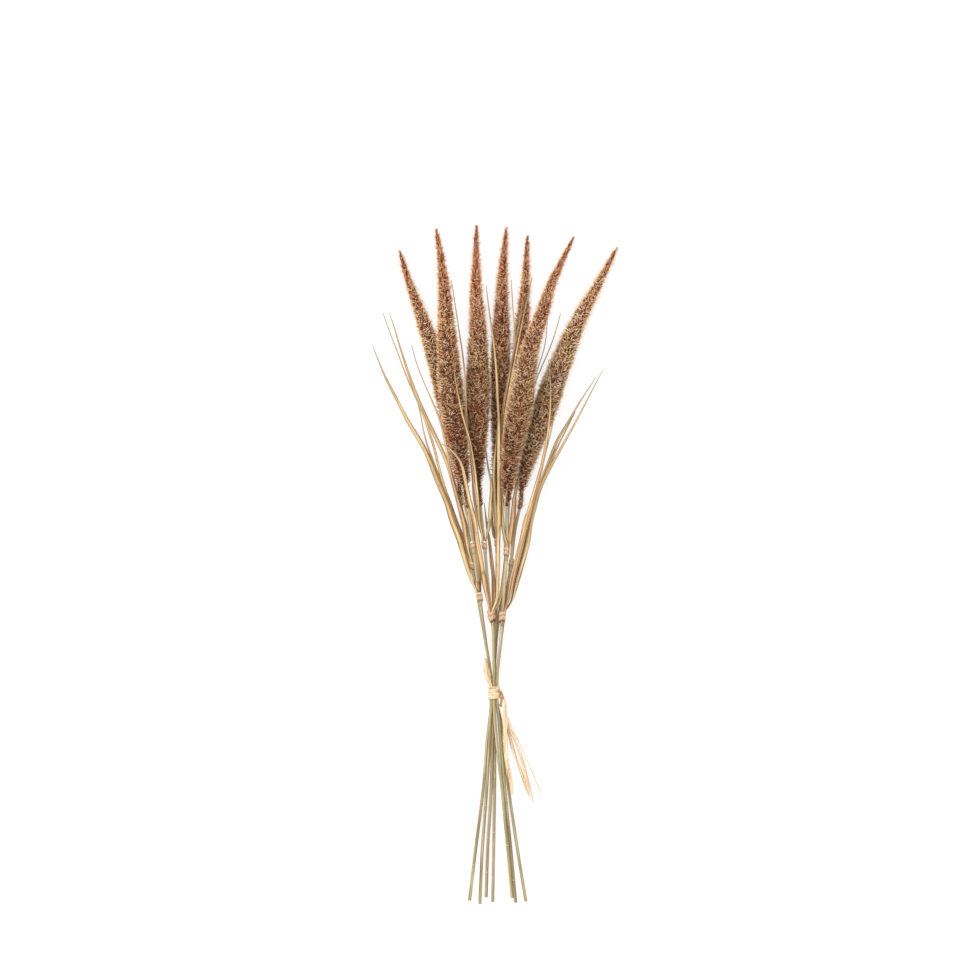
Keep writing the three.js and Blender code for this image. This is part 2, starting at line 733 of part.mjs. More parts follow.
// ---- raffia tie ---------------------------------------------------------------------------------
// distance from the middle of the packed stems to their common outline, in one direction
function packOutline(angle) {
  const reach = plants.map((plant) => {
    const [across, level] = plant.packed;
    return across * Math.cos(angle) + level * PACK_PITCH * Math.sin(angle);
  });
  return Math.max(...reach) + STEM_RADIUS + GAP;
}

function wrapRing(along, offset, slant) {
  return Array.from({ length: WRAP_SEGMENTS }, (unused, i) => {
    const angle = (i / WRAP_SEGMENTS) * 2 * Math.PI;
    const radius = packOutline(angle) + offset;
    return new THREE.Vector3(
      radius * Math.cos(angle),
      along + slant * Math.cos(angle),
      PACK_HEIGHT + radius * Math.sin(angle),
    );
  });
}

function wrap() {
  const shape = new Shape();
  const slant = WRAP_WIDTH / WRAP_TURNS / 4;
  const loops = [];
  for (let k = 0; k <= 2 * WRAP_TURNS; k += 1) {
    const along = -WRAP_WIDTH / 2 + (WRAP_WIDTH * k) / (2 * WRAP_TURNS);
    const offset = k % 2 === 0 ? WRAP_THICKNESS - WRAP_GROOVE : WRAP_THICKNESS;
    loops.push(shape.ring(wrapRing(along, offset, slant)));
  }
  const inner = [WRAP_WIDTH / 2, -WRAP_WIDTH / 2].map((along) => wrapRing(along, 0, slant));
  loops.push(...inner.map((ring) => shape.ring(ring)));
  loops.forEach((loop, k) => {
    shape.bridge(loop, loops[(k + 1) % loops.length], -1);
  });
  return shape;
}

function strip(spec) {
  const route = spec.route.map(([column, row, height]) => plan(column, row, height));
  const curve = new THREE.CatmullRomCurve3(route, false, "centripetal");
  const rings = [];
  for (let k = 0; k <= STRIP_STATIONS; k += 1) {
    const t = k / STRIP_STATIONS;
    const centre = curve.getPointAt(t);
    const frame = acrossPath(curve.getTangentAt(t));
    const turn = spec.lean * Math.sin(3 * Math.PI * t);
    const half = (spec.width / 2) * (0.8 + 0.2 * Math.sin(7 * t + spec.width)) * (1 - 0.35 * t);
    const across = frame.side.clone().multiplyScalar(Math.cos(turn))
      .addScaledVector(frame.up, Math.sin(turn));
    const out = new THREE.Vector3().crossVectors(across, curve.getTangentAt(t)).normalize();
    const corner = (a, b) => centre.clone().addScaledVector(across, a * half)
      .addScaledVector(out, (b * STRIP_THICKNESS) / 2);
    rings.push([corner(1, -1), corner(1, 1), corner(-1, 1), corner(-1, -1)]);
  }
  return tube(rings, 3);
}

function knot() {
  const lump = new THREE.SphereGeometry(0.5, 8, 6);
  const merged = new Map();
  const shape = new Shape();
  const position = lump.getAttribute("position");
  const turned = new THREE.Euler(0, 0, KNOT.lean);
  const keys = Array.from({ length: position.count }, (unused, i) => {
    const point = new THREE.Vector3().fromBufferAttribute(position, i);
    const key = point.toArray().map((value) => Math.round(value * 1e4)).join();
    if (!merged.has(key)) {
      point.multiply(new THREE.Vector3(...KNOT.size)).applyEuler(turned).add(plan(...KNOT.at));
      merged.set(key, shape.ring([point])[0]);
    }
    return merged.get(key);
  });
  const index = Array.from(lump.getIndex().array);
  for (let i = 0; i < index.length; i += 3) {
    const face = [keys[index[i]], keys[index[i + 1]], keys[index[i + 2]]];
    if (new Set(face).size === 3) {
      shape.faces.push(face);
    }
  }
  return shape;
}

function tie() {
  return fused([wrap(), knot(), ...strips.map(strip)]);
}

// ---- the part -----------------------------------------------------------------------------------
const part = new THREE.Group();
part.name = "part";

function add(name, geometry, colour) {
  const material = new THREE.MeshStandardMaterial({ color: colour, roughness: 0.9 });
  const mesh = new THREE.Mesh(geometry, material);
  mesh.name = name;
  part.add(mesh);
}

plants.forEach((plant, index) => {
  add(`stem_${index + 1}`, stem(index), STEM_COLOUR);
  add(`head_${index + 1}`, head(index), HEAD_COLOUR);
});
leaves.forEach((leaf) => {
  add(leaf.name, leafNode(leaf), LEAF_COLOUR);
});
add("raffia_tie", tie(), RAFFIA_COLOUR);

// the origin is on the table, under the middle of the bundle
const box = new THREE.Box3().setFromObject(part);
const middle = box.getCenter(new THREE.Vector3());
part.children.forEach((mesh) => {
  mesh.geometry.translate(-middle.x, -middle.y, -box.min.z);
});

export default part;
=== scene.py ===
"""Bundle of seven dried grass spikes tied with raffia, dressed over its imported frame.

Metres, in the frame's axes: +X to the right, +Y from the cut ends to the tips, +Z up from the floor.
The layout tables give column and row on the layout grid and the height in millimetres.
"""

import math

import bpy
import numpy as np
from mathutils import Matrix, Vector


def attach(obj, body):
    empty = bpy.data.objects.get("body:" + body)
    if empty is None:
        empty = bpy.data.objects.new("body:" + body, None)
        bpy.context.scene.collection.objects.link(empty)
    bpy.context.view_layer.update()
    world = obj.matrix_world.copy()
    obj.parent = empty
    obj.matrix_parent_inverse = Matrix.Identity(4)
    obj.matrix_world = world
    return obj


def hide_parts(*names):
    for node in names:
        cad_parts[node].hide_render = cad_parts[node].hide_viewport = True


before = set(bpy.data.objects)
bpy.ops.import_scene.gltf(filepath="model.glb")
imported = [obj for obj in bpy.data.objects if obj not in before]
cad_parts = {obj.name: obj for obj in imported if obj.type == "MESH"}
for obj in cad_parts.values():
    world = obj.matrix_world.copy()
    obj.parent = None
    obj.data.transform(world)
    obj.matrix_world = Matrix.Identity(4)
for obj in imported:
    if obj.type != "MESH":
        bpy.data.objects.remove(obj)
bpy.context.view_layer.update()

# ---- driving dimensions
MM = 0.001
GRID = 1.0355 * MM  # one unit of the layout grid; its rows are counted tips first
ORIGIN_COLUMN = 494.8995  # layout point under which the part's origin lies
ORIGIN_ROW = 564.938
TIE_COLUMN = 494  # layout point in the middle of the tie
TIE_ROW = 692.5

STEM_RADIUS = 1.6 * MM
PACK_PITCH = 3.5  # millimetres, as in the plants' table
PACK_HEIGHT = 7.5
PACK_REACH = 8 * MM  # straight run of the stems to each side of the tie's middle
GAP = 0.3 * MM
SOCKET_DEPTH = 10 * MM  # of the stem in the neck of its spike
NECK_RADIUS = 3.5
COLLAR_WALL = 0.9 * MM
COLLAR_LENGTH = 8 * MM
FLOOR_GAP = 0.1 * MM

UP = math.pi / 2
LEFT = -PACK_PITCH * math.sin(math.pi / 3)
RIGHT = -LEFT

# ---- the seven plants: column, row and height from tip to tie, and from tie to cut end
# girth is the spike's outer radius in millimetres, top how full its upper half is against the
# others, and body and neck are the rows where those two end. packed is the place in the tie, in
# millimetres across and steps up, joint the row of the stem's joint, brown how brown the stem is,
# and pale is added to the tones of the bristles; on the outer spikes 1 and 7 it is painted light,
# for the light that they catch from the pale surroundings.
PLANTS = [
    dict(girth=13.5, body=477, neck=506, packed=(LEFT, -0.5), joint=865, brown=0.3, pale=0.18, above=[
        (399.6, 251, 9), (410.2, 286, 11), (422.4, 319.5, 12.4), (434, 353, 13.2), (444, 386, 13.2),
        (452, 419, 13.2), (456.2, 450, 12.4), (458.6, 476, 11.6), (461, 505, 10.6), (468.6, 534, 10),
        (473.5, 570, 9.2), (478.3, 600, 8.4), (485.2, 640, 7.2),
    ], below=[
        (487.3, 740, 4.7), (483.5, 785, 3.6), (475.5, 850, 2.2), (469.5, 900.5, 1.45),
    ]),
    dict(girth=14.2, top=1.01, body=480, neck=508, packed=(LEFT, 0.5), joint=805, brown=0.4, above=[
        (436.3, 230, 34), (441, 260, 37), (444, 286, 39.5), (446, 319.5, 41.5), (448, 353, 42),
        (452.4, 402, 42), (457.8, 440, 40), (463, 472, 35.4), (467.6, 503, 29.2), (470.6, 521, 26),
        (475, 560, 20.8), (479.5, 596, 16.8), (485.4, 640, 12.5),
    ], below=[
        (489.6, 740, 7.6), (487, 785, 6), (482.2, 850, 3.3), (479.8, 903.8, 1.45),
    ]),
    dict(girth=13.9, top=0.97, body=474, neck=506, packed=(0, 1), joint=845, brown=0.05, pale=0.04, above=[
        (476.6, 226, 23), (475.8, 286, 26), (478, 336, 27.8), (478, 402, 28), (477.8, 440, 27.4),
        (478.3, 474, 24.6), (480.2, 503, 21.6), (484.5, 545, 19.4), (486.7, 570, 18.2), (489.8, 600, 16.4),
        (492, 616, 15.3), (493.4, 640, 13.8),
    ], below=[
        (495, 720, 10.3), (497.9, 752, 9.2), (501.6, 785, 8), (504, 810, 6.9), (507.8, 850, 4.8),
        (512.1, 898, 1.45),
    ]),
    dict(girth=10.7, top=1.28, body=478, neck=506, packed=(0, 0), joint=872, brown=0.85, above=[
        (506.3, 227.5, 8), (502, 286, 10.2), (501, 336, 10.8), (500, 402, 11), (498.8, 440, 12.2),
        (497, 475, 11.4), (496.8, 503, 10), (497, 543, 9.4), (497, 580, 9), (496, 616, 8.5),
        (494.8, 640, 8.1),
    ], below=[
        (492.4, 740, 6.4), (491.3, 785, 5.2), (487.6, 850, 3), (486.1, 897.2, 1.45),
    ]),
    dict(girth=9.3, top=1.3, body=460, neck=500, packed=(0, -1), joint=832, brown=0.75, above=[
        (527.5, 236, 7), (525, 286, 9), (522.7, 319.5, 9.3), (520.8, 353, 9.3), (519.6, 402, 9.3),
        (514.4, 440, 8.2), (511.6, 460, 7.6), (508.5, 503, 7.6), (506.6, 543, 7.8), (503.5, 580, 7.3),
        (499, 616, 6.2), (496.3, 640, 5.4),
    ], below=[
        (494.8, 740, 3.5), (494.6, 785, 3), (493.6, 850, 2), (492.7, 901.8, 1.45),
    ]),
    dict(girth=14.4, top=0.95, body=490, neck=506, packed=(RIGHT, 0.5), joint=880, brown=0.55, pale=0.06,
         above=[
        (573.6, 237.4, 29), (550.8, 286, 32.5), (540, 319.5, 35), (529, 353, 36.6), (521, 402, 37),
        (513.6, 440, 35.4), (508.8, 472, 31), (507, 503, 24.6), (506.6, 552, 19.8), (505.6, 570, 18.4),
        (503, 606, 15.8), (500.6, 640, 13.2),
    ], below=[
        (498.9, 720, 7.8), (501.4, 752, 6.4), (504.5, 785, 4.8), (506.9, 810, 3.9), (510.9, 850, 2.5),
        (515.7, 902.5, 1.45),
    ]),
    dict(girth=13.8, top=1.1, body=484, neck=509, packed=(RIGHT, -0.5), joint=842, brown=0.35, pale=0.28,
         above=[
        (616.8, 248, 8), (597, 286, 10.4), (579, 319.5, 12.4), (565, 353, 13.5), (552.6, 386, 13.6),
        (541.6, 419, 14), (533, 443, 15.4), (526.6, 464, 15.4), (522.8, 480, 14.4), (520.4, 503, 12.6),
        (515, 530, 11), (511, 563, 10.1), (507.7, 586, 9.4), (504, 616, 8.3), (501, 640, 7.5),
    ], below=[
        (500.5, 720, 4.6), (504, 752, 4), (508, 785, 3.2), (517.5, 850, 2.1), (525.9, 901.3, 1.45),
    ]),
]

# outer radius of a spike from tip (0) to the end of its body (1), as a share of its girth
PROFILE = [
    (0, 0.08), (0.03, 0.23), (0.14, 0.42), (0.25, 0.57), (0.45, 0.81), (0.63, 1), (0.72, 0.98),
    (0.79, 0.88), (0.865, 0.74), (0.945, 0.58), (0.995, 0.45), (1.02, 0.26),
]

# ---- leaves: the stem, the row of the collar, and each blade from the collar to its tip
# side is the direction round the stem that a blade leaves from; over lists the plants it lies on.
# bulk is the size of the collar against a plain one, knob the row of a swelling above it, and
# power is how late a blade starts to taper.
LEAVES = [
    dict(name="leaf_low_2", plant=2, row=597, bulk=1.15, knob=586, blades=[
        dict(side=2.6, width=6.2, tone=0.45, power=2.4, route=[
            (470.2, 577, 15.6), (459.6, 540, 14.6), (452.4, 521, 14), (445.8, 500, 13.4), (438, 482, 12.6),
            (425, 450, 10.8), (407.2, 420, 8.6), (397, 400, 7), (384.4, 375, 5.2), (372.6, 345.7, 3.5),
        ]),
        dict(side=3.5, width=5, tone=0.6, route=[
            (474, 577, 12), (463.4, 540, 9.2), (455.8, 520, 8), (449, 500, 6.6), (440.6, 481, 5.4),
            (433.4, 462, 4.6), (427.6, 446, 4.2), (423.4, 430, 3.8), (420.4, 414, 3.4), (417, 400, 3.2),
        ]),
        dict(side=-1.2, width=5, tone=0.2, power=2.4, route=[
            (479.6, 584, 13.6), (477.2, 560, 14), (474.2, 540, 15.2), (471, 529, 16), (468.2, 519, 16.6),
            (465.2, 508, 17.2), (463.2, 499, 17.8), (462, 490, 18.2),
        ]),
    ]),
    dict(name="leaf_low_3", plant=3, row=616.5, bulk=1.7, blades=[
        dict(side=2.5, width=5, tone=0.62, power=4, over=[1, 2, 3], route=[
            (487.8, 600, 20), (484, 580, 23), (481, 560, 26), (477.4, 540, 28), (474.6, 520, 30),
            (469.4, 500, 33), (467.4, 490, 34), (464.6, 476.5, 36), (463.2, 470, 37), (459.6, 460.4, 38),
            (455.2, 454.4, 38), (449, 448.4, 37), (442, 444.2, 35),
        ]),
        dict(side=1.35, width=4.8, tone=0.35, power=2, over=[3, 4], route=[
            (496.4, 600, 20), (497.7, 580, 21.4), (497.8, 560, 23), (498, 540, 24.4), (499, 520, 26),
            (498.8, 500, 27.4), (498.6, 480, 29), (498.6, 460, 30), (498.8, 440, 31), (498.8, 420, 31),
            (497.8, 400, 31), (495.8, 366, 30), (493.8, 345, 29), (489, 310, 28), (486, 286, 28),
        ]),
        dict(side=0.2, width=4, tone=0.9, power=3, route=[
            (499, 602, 14.4), (502, 588, 13.6), (504, 570, 13.4), (505, 552, 13.6),
        ]),
        dict(side=-0.6, width=4.4, tone=0.95, power=2.4, route=[
            (493.6, 598, 13.2), (493.5, 580, 13.4), (491.4, 560, 14), (489.2, 540, 14.6), (487, 527, 15.4),
            (485.6, 515, 16.4), (484.4, 503, 17.4),
        ]),
    ]),
    dict(name="leaf_low_6", plant=6, row=617, bulk=1.35, blades=[
        dict(side=0.7, width=5.8, tone=0.7, power=1.5, over=[7], route=[
            (508, 600, 16.4), (512, 580, 16.4), (516.9, 560, 16.4), (521.4, 541, 16.6), (525.8, 520, 17.4),
            (529.2, 510, 18), (532, 500, 18.6), (534.8, 490, 19.4), (537.8, 480, 20.4), (541, 469, 22),
            (543, 460, 24), (546.6, 440, 26.4), (549.2, 420, 28), (550.4, 400, 29), (550.2, 380, 29),
            (548.5, 360, 28),
        ]),
        dict(side=0, width=5.2, tone=0.4, power=1.5, route=[
            (512.4, 600, 14), (517.2, 582, 13.4), (522.8, 561, 13), (527.6, 544, 13), (531.4, 521, 12.8),
            (536.6, 500, 12.4), (539.6, 490, 12.2), (544.4, 479, 11.8), (553.8, 461, 11.2),
            (562.4, 445.6, 10.4), (573.4, 426, 9.4), (583.2, 407.4, 8), (602.5, 370.4, 5.5),
        ]),
        dict(side=-0.7, width=4, tone=0.55, power=3, route=[
            (511, 602, 11.4), (515.6, 584, 10.4), (521, 563, 9.6), (526.4, 541, 9), (530.6, 520, 8.7),
            (535, 501, 8.4), (541, 482, 7.9), (549, 461, 7.6), (557.4, 440, 7), (567, 424, 6.7),
            (579.8, 402, 5.8), (596.4, 376.6, 4.5),
        ]),
        dict(side=0.3, width=3.6, tone=0.1, power=3, route=[
            (510.6, 602, 13), (516, 583, 12), (522.4, 560, 11.4), (528.4, 537, 11), (533, 514, 10.6),
            (537.6, 496, 10.2), (543, 480, 9.8), (551.4, 460, 9.2), (559.8, 442, 8.6), (568, 426, 8),
            (575.2, 412, 7.4),
        ]),
        dict(side=1, width=3.8, tone=0.85, over=[7], route=[
            (508.6, 600, 17.6), (513.6, 578, 17.8), (520.4, 550, 18), (528, 522, 19), (533, 502, 20.4),
            (537.8, 484, 21.6), (541.8, 469, 23), (545, 455, 25), (548.8, 440, 26), (551.6, 428, 26),
            (553.8, 417, 25), (556.4, 404, 23),
        ]),
    ]),
    dict(name="leaf_top_1", plant=1, row=566.5, bulk=1, blades=[
        dict(side=2.6, width=4.8, tone=0.42, power=2.2, route=[
            (467.4, 548, 11.6), (464.4, 530, 11.4), (462.2, 519, 11.2), (457.8, 500, 10.8),
            (452.6, 480, 10.4), (446, 460, 9.8), (439.8, 446, 9.4), (426.6, 418, 8.6), (413.8, 388, 7.6),
            (401.2, 351, 6.2), (395, 330, 5.2), (389.4, 313, 4.6),
        ]),
        dict(side=3.4, width=3.8, tone=0.5, route=[
            (467.2, 552, 9.6), (462.6, 540, 9.4), (455.6, 521, 9.1), (449, 502, 8.8), (443, 483, 8.4),
            (438.8, 467, 8), (433.6, 446, 7.6), (422, 412, 6.6), (405.7, 374.4, 5.4), (397.4, 352, 4.6),
            (391, 335.5, 4), (382.8, 312.6, 3.2),
        ]),
        dict(side=1.9, width=3.6, tone=0.7, over=[1], route=[
            (467.8, 548, 13), (463.8, 522, 14), (459, 504, 14.4), (455, 490, 15), (451.2, 475, 15),
            (449.2, 464, 15), (446.8, 450, 15), (442.6, 430, 14), (438, 415, 13), (431.6, 400, 12),
            (425.4, 386, 10.6), (416.8, 364, 9), (411.5, 345, 8),
        ]),
    ]),
    dict(name="leaf_top_2", plant=2, row=545, bulk=0.8, blades=[
        dict(side=-0.9, width=2.8, tone=0.02, power=2, route=[
            (472.6, 527, 20.8), (468.6, 508, 21.8), (464.6, 487, 22.4),
        ]),
    ]),
    dict(name="leaf_top_3", plant=3, row=545, bulk=1, blades=[
        dict(side=2.2, width=3.6, tone=0.4, over=[2, 3], route=[
            (482, 534, 24), (479.4, 520, 26), (478, 500, 29), (476, 482, 33), (474.2, 466, 36),
            (472.4, 456, 38), (469.4, 440, 42), (465.6, 426, 45), (461.8, 412, 47), (459.3, 400, 50),
            (455.5, 380, 52), (453.5, 360, 53),
        ]),
        dict(side=1.2, width=3.2, tone=1, over=[2, 3], route=[
            (481, 532, 23.6), (477.8, 518, 25), (475, 503, 27), (473.6, 490, 29), (472.8, 475, 31),
            (470.8, 455, 34), (468.4, 436, 37), (466.8, 418, 39), (466, 402, 40), (465.4, 386.5, 41),
            (463.8, 364, 41), (459.8, 335.5, 40), (456, 310, 38), (451.5, 281, 36),
        ]),
        dict(side=0.4, width=4, tone=0.08, power=2, route=[
            (486.8, 536, 20), (488.8, 526, 20.4), (489.8, 515, 20.8), (490.4, 503, 21), (491.4, 490, 21.4),
            (490.8, 480, 21.6), (488.6, 470, 21.6), (487, 460, 21), (485.6, 447, 20),
        ]),
    ]),
    dict(name="leaf_top_4", plant=4, row=543, bulk=0.9, blades=[
        dict(side=1, width=3.8, tone=0.5, over=[4, 5], route=[
            (499.4, 528, 12.6), (501, 505, 13.4), (502.5, 480, 16), (506, 440, 19), (509, 400, 21),
            (512, 370, 22), (514.6, 340, 22), (513, 310, 21), (511, 280, 19),
        ]),
        dict(side=1.9, width=4.6, tone=0.25, power=2.4, over=[4], route=[
            (496.4, 531, 14), (495.9, 520, 15), (494.9, 508, 16.6), (494.2, 495, 18.4), (493.8, 478, 20),
            (494.4, 462, 22), (496, 445, 23), (497, 428, 24),
        ]),
        dict(side=2.8, width=3.4, tone=1, power=2, route=[
            (494.2, 537, 11), (492.8, 528, 12), (491.8, 518, 13.4), (491.6, 506, 15), (492.4, 494, 16.6),
        ]),
    ]),
    dict(name="leaf_top_5", plant=5, row=548, bulk=0.9, blades=[
        dict(side=0.3, width=3.8, tone=0.95, power=2, route=[
            (509.8, 532, 8.6), (512.4, 516, 8.4), (514.2, 502, 8), (515.4, 486, 7),
        ]),
    ]),
    dict(name="leaf_top_6", plant=6, row=552, bulk=1.1, blades=[
        dict(side=2.2, width=4.4, tone=1, power=1.8, over=[4], route=[
            (503.6, 534, 22), (502, 520, 22.4), (501.4, 508, 22.8), (501, 495, 23.2), (500.6, 480, 24),
            (500.6, 460, 25), (501.2, 440, 26), (502.3, 420, 26), (504.7, 400, 26), (508.5, 380, 26),
            (513.4, 355, 26), (518, 330, 26), (521.4, 310, 25), (524.6, 278, 22),
        ]),
        dict(side=1.5, width=3.8, tone=0.3, power=1.8, over=[4], route=[
            (504.8, 536, 22.6), (503, 520, 22.4), (502.6, 508, 22.5), (501.6, 490, 22.8),
            (501.4, 465, 24.4), (502.8, 440, 26), (504.9, 420, 26.8), (507.6, 400, 27), (511.4, 380, 27.5),
            (516.4, 352, 28), (522.4, 322, 30), (532, 278, 31),
        ]),
        dict(side=0.4, width=5, tone=0.85, power=4, route=[
            (509.8, 538, 21.4), (512.2, 521, 21.8), (513.2, 510, 22), (514.2, 500, 22.1), (516, 490, 22.2),
            (518, 480, 22.3), (518.9, 471, 22.4),
        ]),
        dict(side=1.2, width=2.8, tone=0.05, power=2.4, over=[6], route=[
            (504, 534, 24), (503, 520, 27), (503.4, 511, 29), (505.2, 500, 32), (506.6, 491, 35),
            (507.8, 483, 38),
        ]),
    ]),
    dict(name="leaf_top_7", plant=7, row=563, bulk=0.8, blades=[
        dict(side=1.4, width=2.6, tone=0.35, route=[
            (512.4, 543, 14), (514.6, 521, 15.8), (515.4, 500, 17.6), (516.4, 475, 20), (517.8, 458, 21.6),
            (520.8, 440, 22.4), (528.4, 402, 21.6), (540, 371, 20), (549, 350, 18.6), (555.4, 332, 16.8),
            (560.4, 314, 14),
        ]),
        dict(side=1.9, width=2.4, tone=0.5, route=[
            (511.6, 543, 14.4), (514, 521, 16), (515, 500, 17.8), (516.2, 475, 20.2), (517.6, 458, 21.8),
            (520.4, 440, 22.6), (527.6, 402, 21.8), (538, 368, 20.6), (544.8, 345, 19.4), (547.4, 320, 18),
        ]),
    ]),
]

# ---- raffia: each end and fold, from the tie outwards; widths in millimetres are spread along it
STRIPS = [
    dict(widths=[3, 4.6, 5.4, 4.4, 3.4, 3.2, 3.6, 2.6], lean=0.2, frays=9, tone=0.7, route=[
        (500.4, 692, 9), (503, 699, 9.6), (504.6, 708, 9.6), (504.9, 720, 9.4), (505.2, 738, 9.4),
        (506.4, 757, 8.8), (509.8, 777, 6.6), (512.2, 795, 5.2),
    ]),
    dict(widths=[2, 2.6, 2.8, 2.6, 2.6, 1.6], lean=-0.3, frays=6, tone=0.78, route=[
        (500.6, 694, 6.6), (503.6, 706, 7.4), (506.4, 722, 6), (510.4, 738, 4.4), (514.6, 753, 3.4),
        (519.4, 768, 2.8), (524.6, 783, 2.4), (529.4, 797, 2),
    ]),
    dict(widths=[2, 2.6, 2.8, 2.4, 2.8, 1.4], lean=0.35, frays=6, tone=0.76, route=[
        (501.2, 696, 8.4), (504.6, 710, 8.2), (508.6, 727, 7), (515.2, 741, 5.4), (520.6, 755, 4.4),
        (525, 770, 3.4), (529.4, 787, 2.6), (533.4, 804, 2),
    ]),
    dict(widths=[1.4, 1.3, 1.2, 1.2, 0.9], lean=0.4, frays=0, tone=0.1, route=[
        (503.4, 704, 8.4), (507, 716, 8), (513, 729, 7.2), (520, 744, 6), (530.6, 768, 4.6),
        (537.4, 785, 3.4), (542.5, 796, 2.6),
    ]),
    dict(widths=[1.2, 1, 0.8, 0.5], lean=0.3, frays=0, tone=0.8, route=[
        (504.4, 712, 8.2), (507.4, 729, 7), (509.6, 741, 5.4), (511.2, 748.6, 4.2), (513.4, 748.4, 3.4),
        (512.8, 745.4, 3),
    ]),
    dict(widths=[3, 4, 4.8, 4, 1.8], lean=0.3, frays=18, tone=0.74, route=[
        (491.4, 688, 13), (489.2, 681, 13.4), (487.2, 673, 14.2), (485.8, 665, 15.2), (484.9, 657, 16.6),
    ]),
    dict(widths=[2.4, 3.4, 3.2, 2.6], lean=0.5, frays=0, tone=1, route=[
        (498.2, 689.6, 12.6), (500.9, 692.6, 11.6), (501.9, 697.4, 10.6), (501.5, 702.4, 10),
        (500.9, 707, 9.4),
    ]),
    dict(widths=[2, 3, 2.8, 1.8], lean=-0.4, frays=0, tone=0.9, route=[
        (499.6, 696.6, 12.4), (501.7, 696.4, 11), (502.2, 699.6, 9.4), (500.6, 703.6, 8.4),
        (499.4, 705.6, 8),
    ]),
]

# ---- numbers and curves
def plan(column, row, height):
    """Layout point, with its height in millimetres, in the frame."""
    return np.array([(column - ORIGIN_COLUMN) * GRID, (ORIGIN_ROW - row) * GRID, height * MM])


def unit(vectors):
    return vectors / np.linalg.norm(vectors, axis=-1, keepdims=True)


def smoothstep(values, low, high):
    t = np.clip((values - low) / (high - low), 0, 1)
    return t * t * (3 - 2 * t)


def hermite(t, start, end, lead, trail):
    """Cubic from start to end, with these slopes for t from 0 to 1."""
    rest = 1 - t
    return (rest * rest * (1 + 2 * t) * start + rest * rest * t * lead
            + t * t * (3 - 2 * t) * end - t * t * rest * trail)


class Smooth:
    """Smooth curve through keys and values that never overshoots them."""

    def __init__(self, keys, values):
        self.keys = keys
        self.values = values
        self.span = np.diff(keys)
        slope = np.diff(values) / self.span
        near = 2 * self.span[1:] + self.span[:-1]
        far = self.span[1:] + 2 * self.span[:-1]
        turning = slope[:-1] * slope[1:] <= 0
        before = np.where(turning, 1, slope[:-1])
        after = np.where(turning, 1, slope[1:])
        inner = np.where(turning, 0, (near + far) / (near / before + far / after))
        self.bend = np.concatenate([slope[:1], inner, slope[-1:]])

    def __call__(self, at):
        i = np.clip(np.searchsorted(self.keys, at) - 1, 0, len(self.span) - 1)
        span = self.span[i]
        t = (at - self.keys[i]) / span
        return hermite(t, self.values[i], self.values[i + 1], span * self.bend[i],
                       span * self.bend[i + 1])


def distances(line, power=1):
    """How far along a line of points each one lies, with every step raised to this power."""
    steps = np.linalg.norm(np.diff(line, axis=0), axis=1) ** power
    return np.concatenate([[0], np.cumsum(steps)])


def evenly(line, count):
    """As many points as asked, evenly spaced along a line of points."""
    along = distances(line)
    places = np.linspace(0, along[-1], count)
    return np.stack([np.interp(places, along, line[:, k]) for k in range(3)], -1)


def smooth_path(keys, count, steps=24):
    """Evenly spaced points along a smooth curve through the keys (centripetal Catmull-Rom)."""
    keys = np.array(keys, float)
    padded = np.concatenate([[2 * keys[0] - keys[1]], keys, [2 * keys[-1] - keys[-2]]])
    times = distances(padded, power=0.5)
    t = np.linspace(0, 1, steps, endpoint=False)[:, None]
    line = []
    for k in range(1, len(padded) - 2):
        a, b, c, d = padded[k - 1:k + 3]
        before, during, after = np.diff(times[k - 1:k + 3])
        lead = (b - a) / before - (c - a) / (before + during) + (c - b) / during
        trail = (c - b) / during - (d - b) / (during + after) + (d - c) / after
        line.append(hermite(t, b, c, lead * during, trail * during))
    return evenly(np.concatenate(line + [keys[-1:]]), count)


def across_path(ahead):
    """Directions across a path: side is level, up leans with the path."""
    side = unit(np.cross(ahead, [0, 0, 1]))
    return side, unit(np.cross(side, ahead))


def along_path(line):
    return unit(np.gradient(line, axis=0))


def rolled(side, up, angle):
    """Two directions across a path, turned round it by these angles."""
    cosine, sine = np.cos(angle)[..., None], np.sin(angle)[..., None]
    return side * cosine + up * sine, up * cosine - side * sine


def round_angles(sides):
    return np.arange(sides) / sides * math.tau


def wave(rng, places, turns):
    """Slow random wave of about -1 ... 1 over places from 0 to 1."""
    total = 0
    for k, share in enumerate((0.6, 0.3, 0.2)):
        total = total + share * np.sin(turns * (k + 1) * math.tau * places + rng.uniform(0, math.tau))
    return total


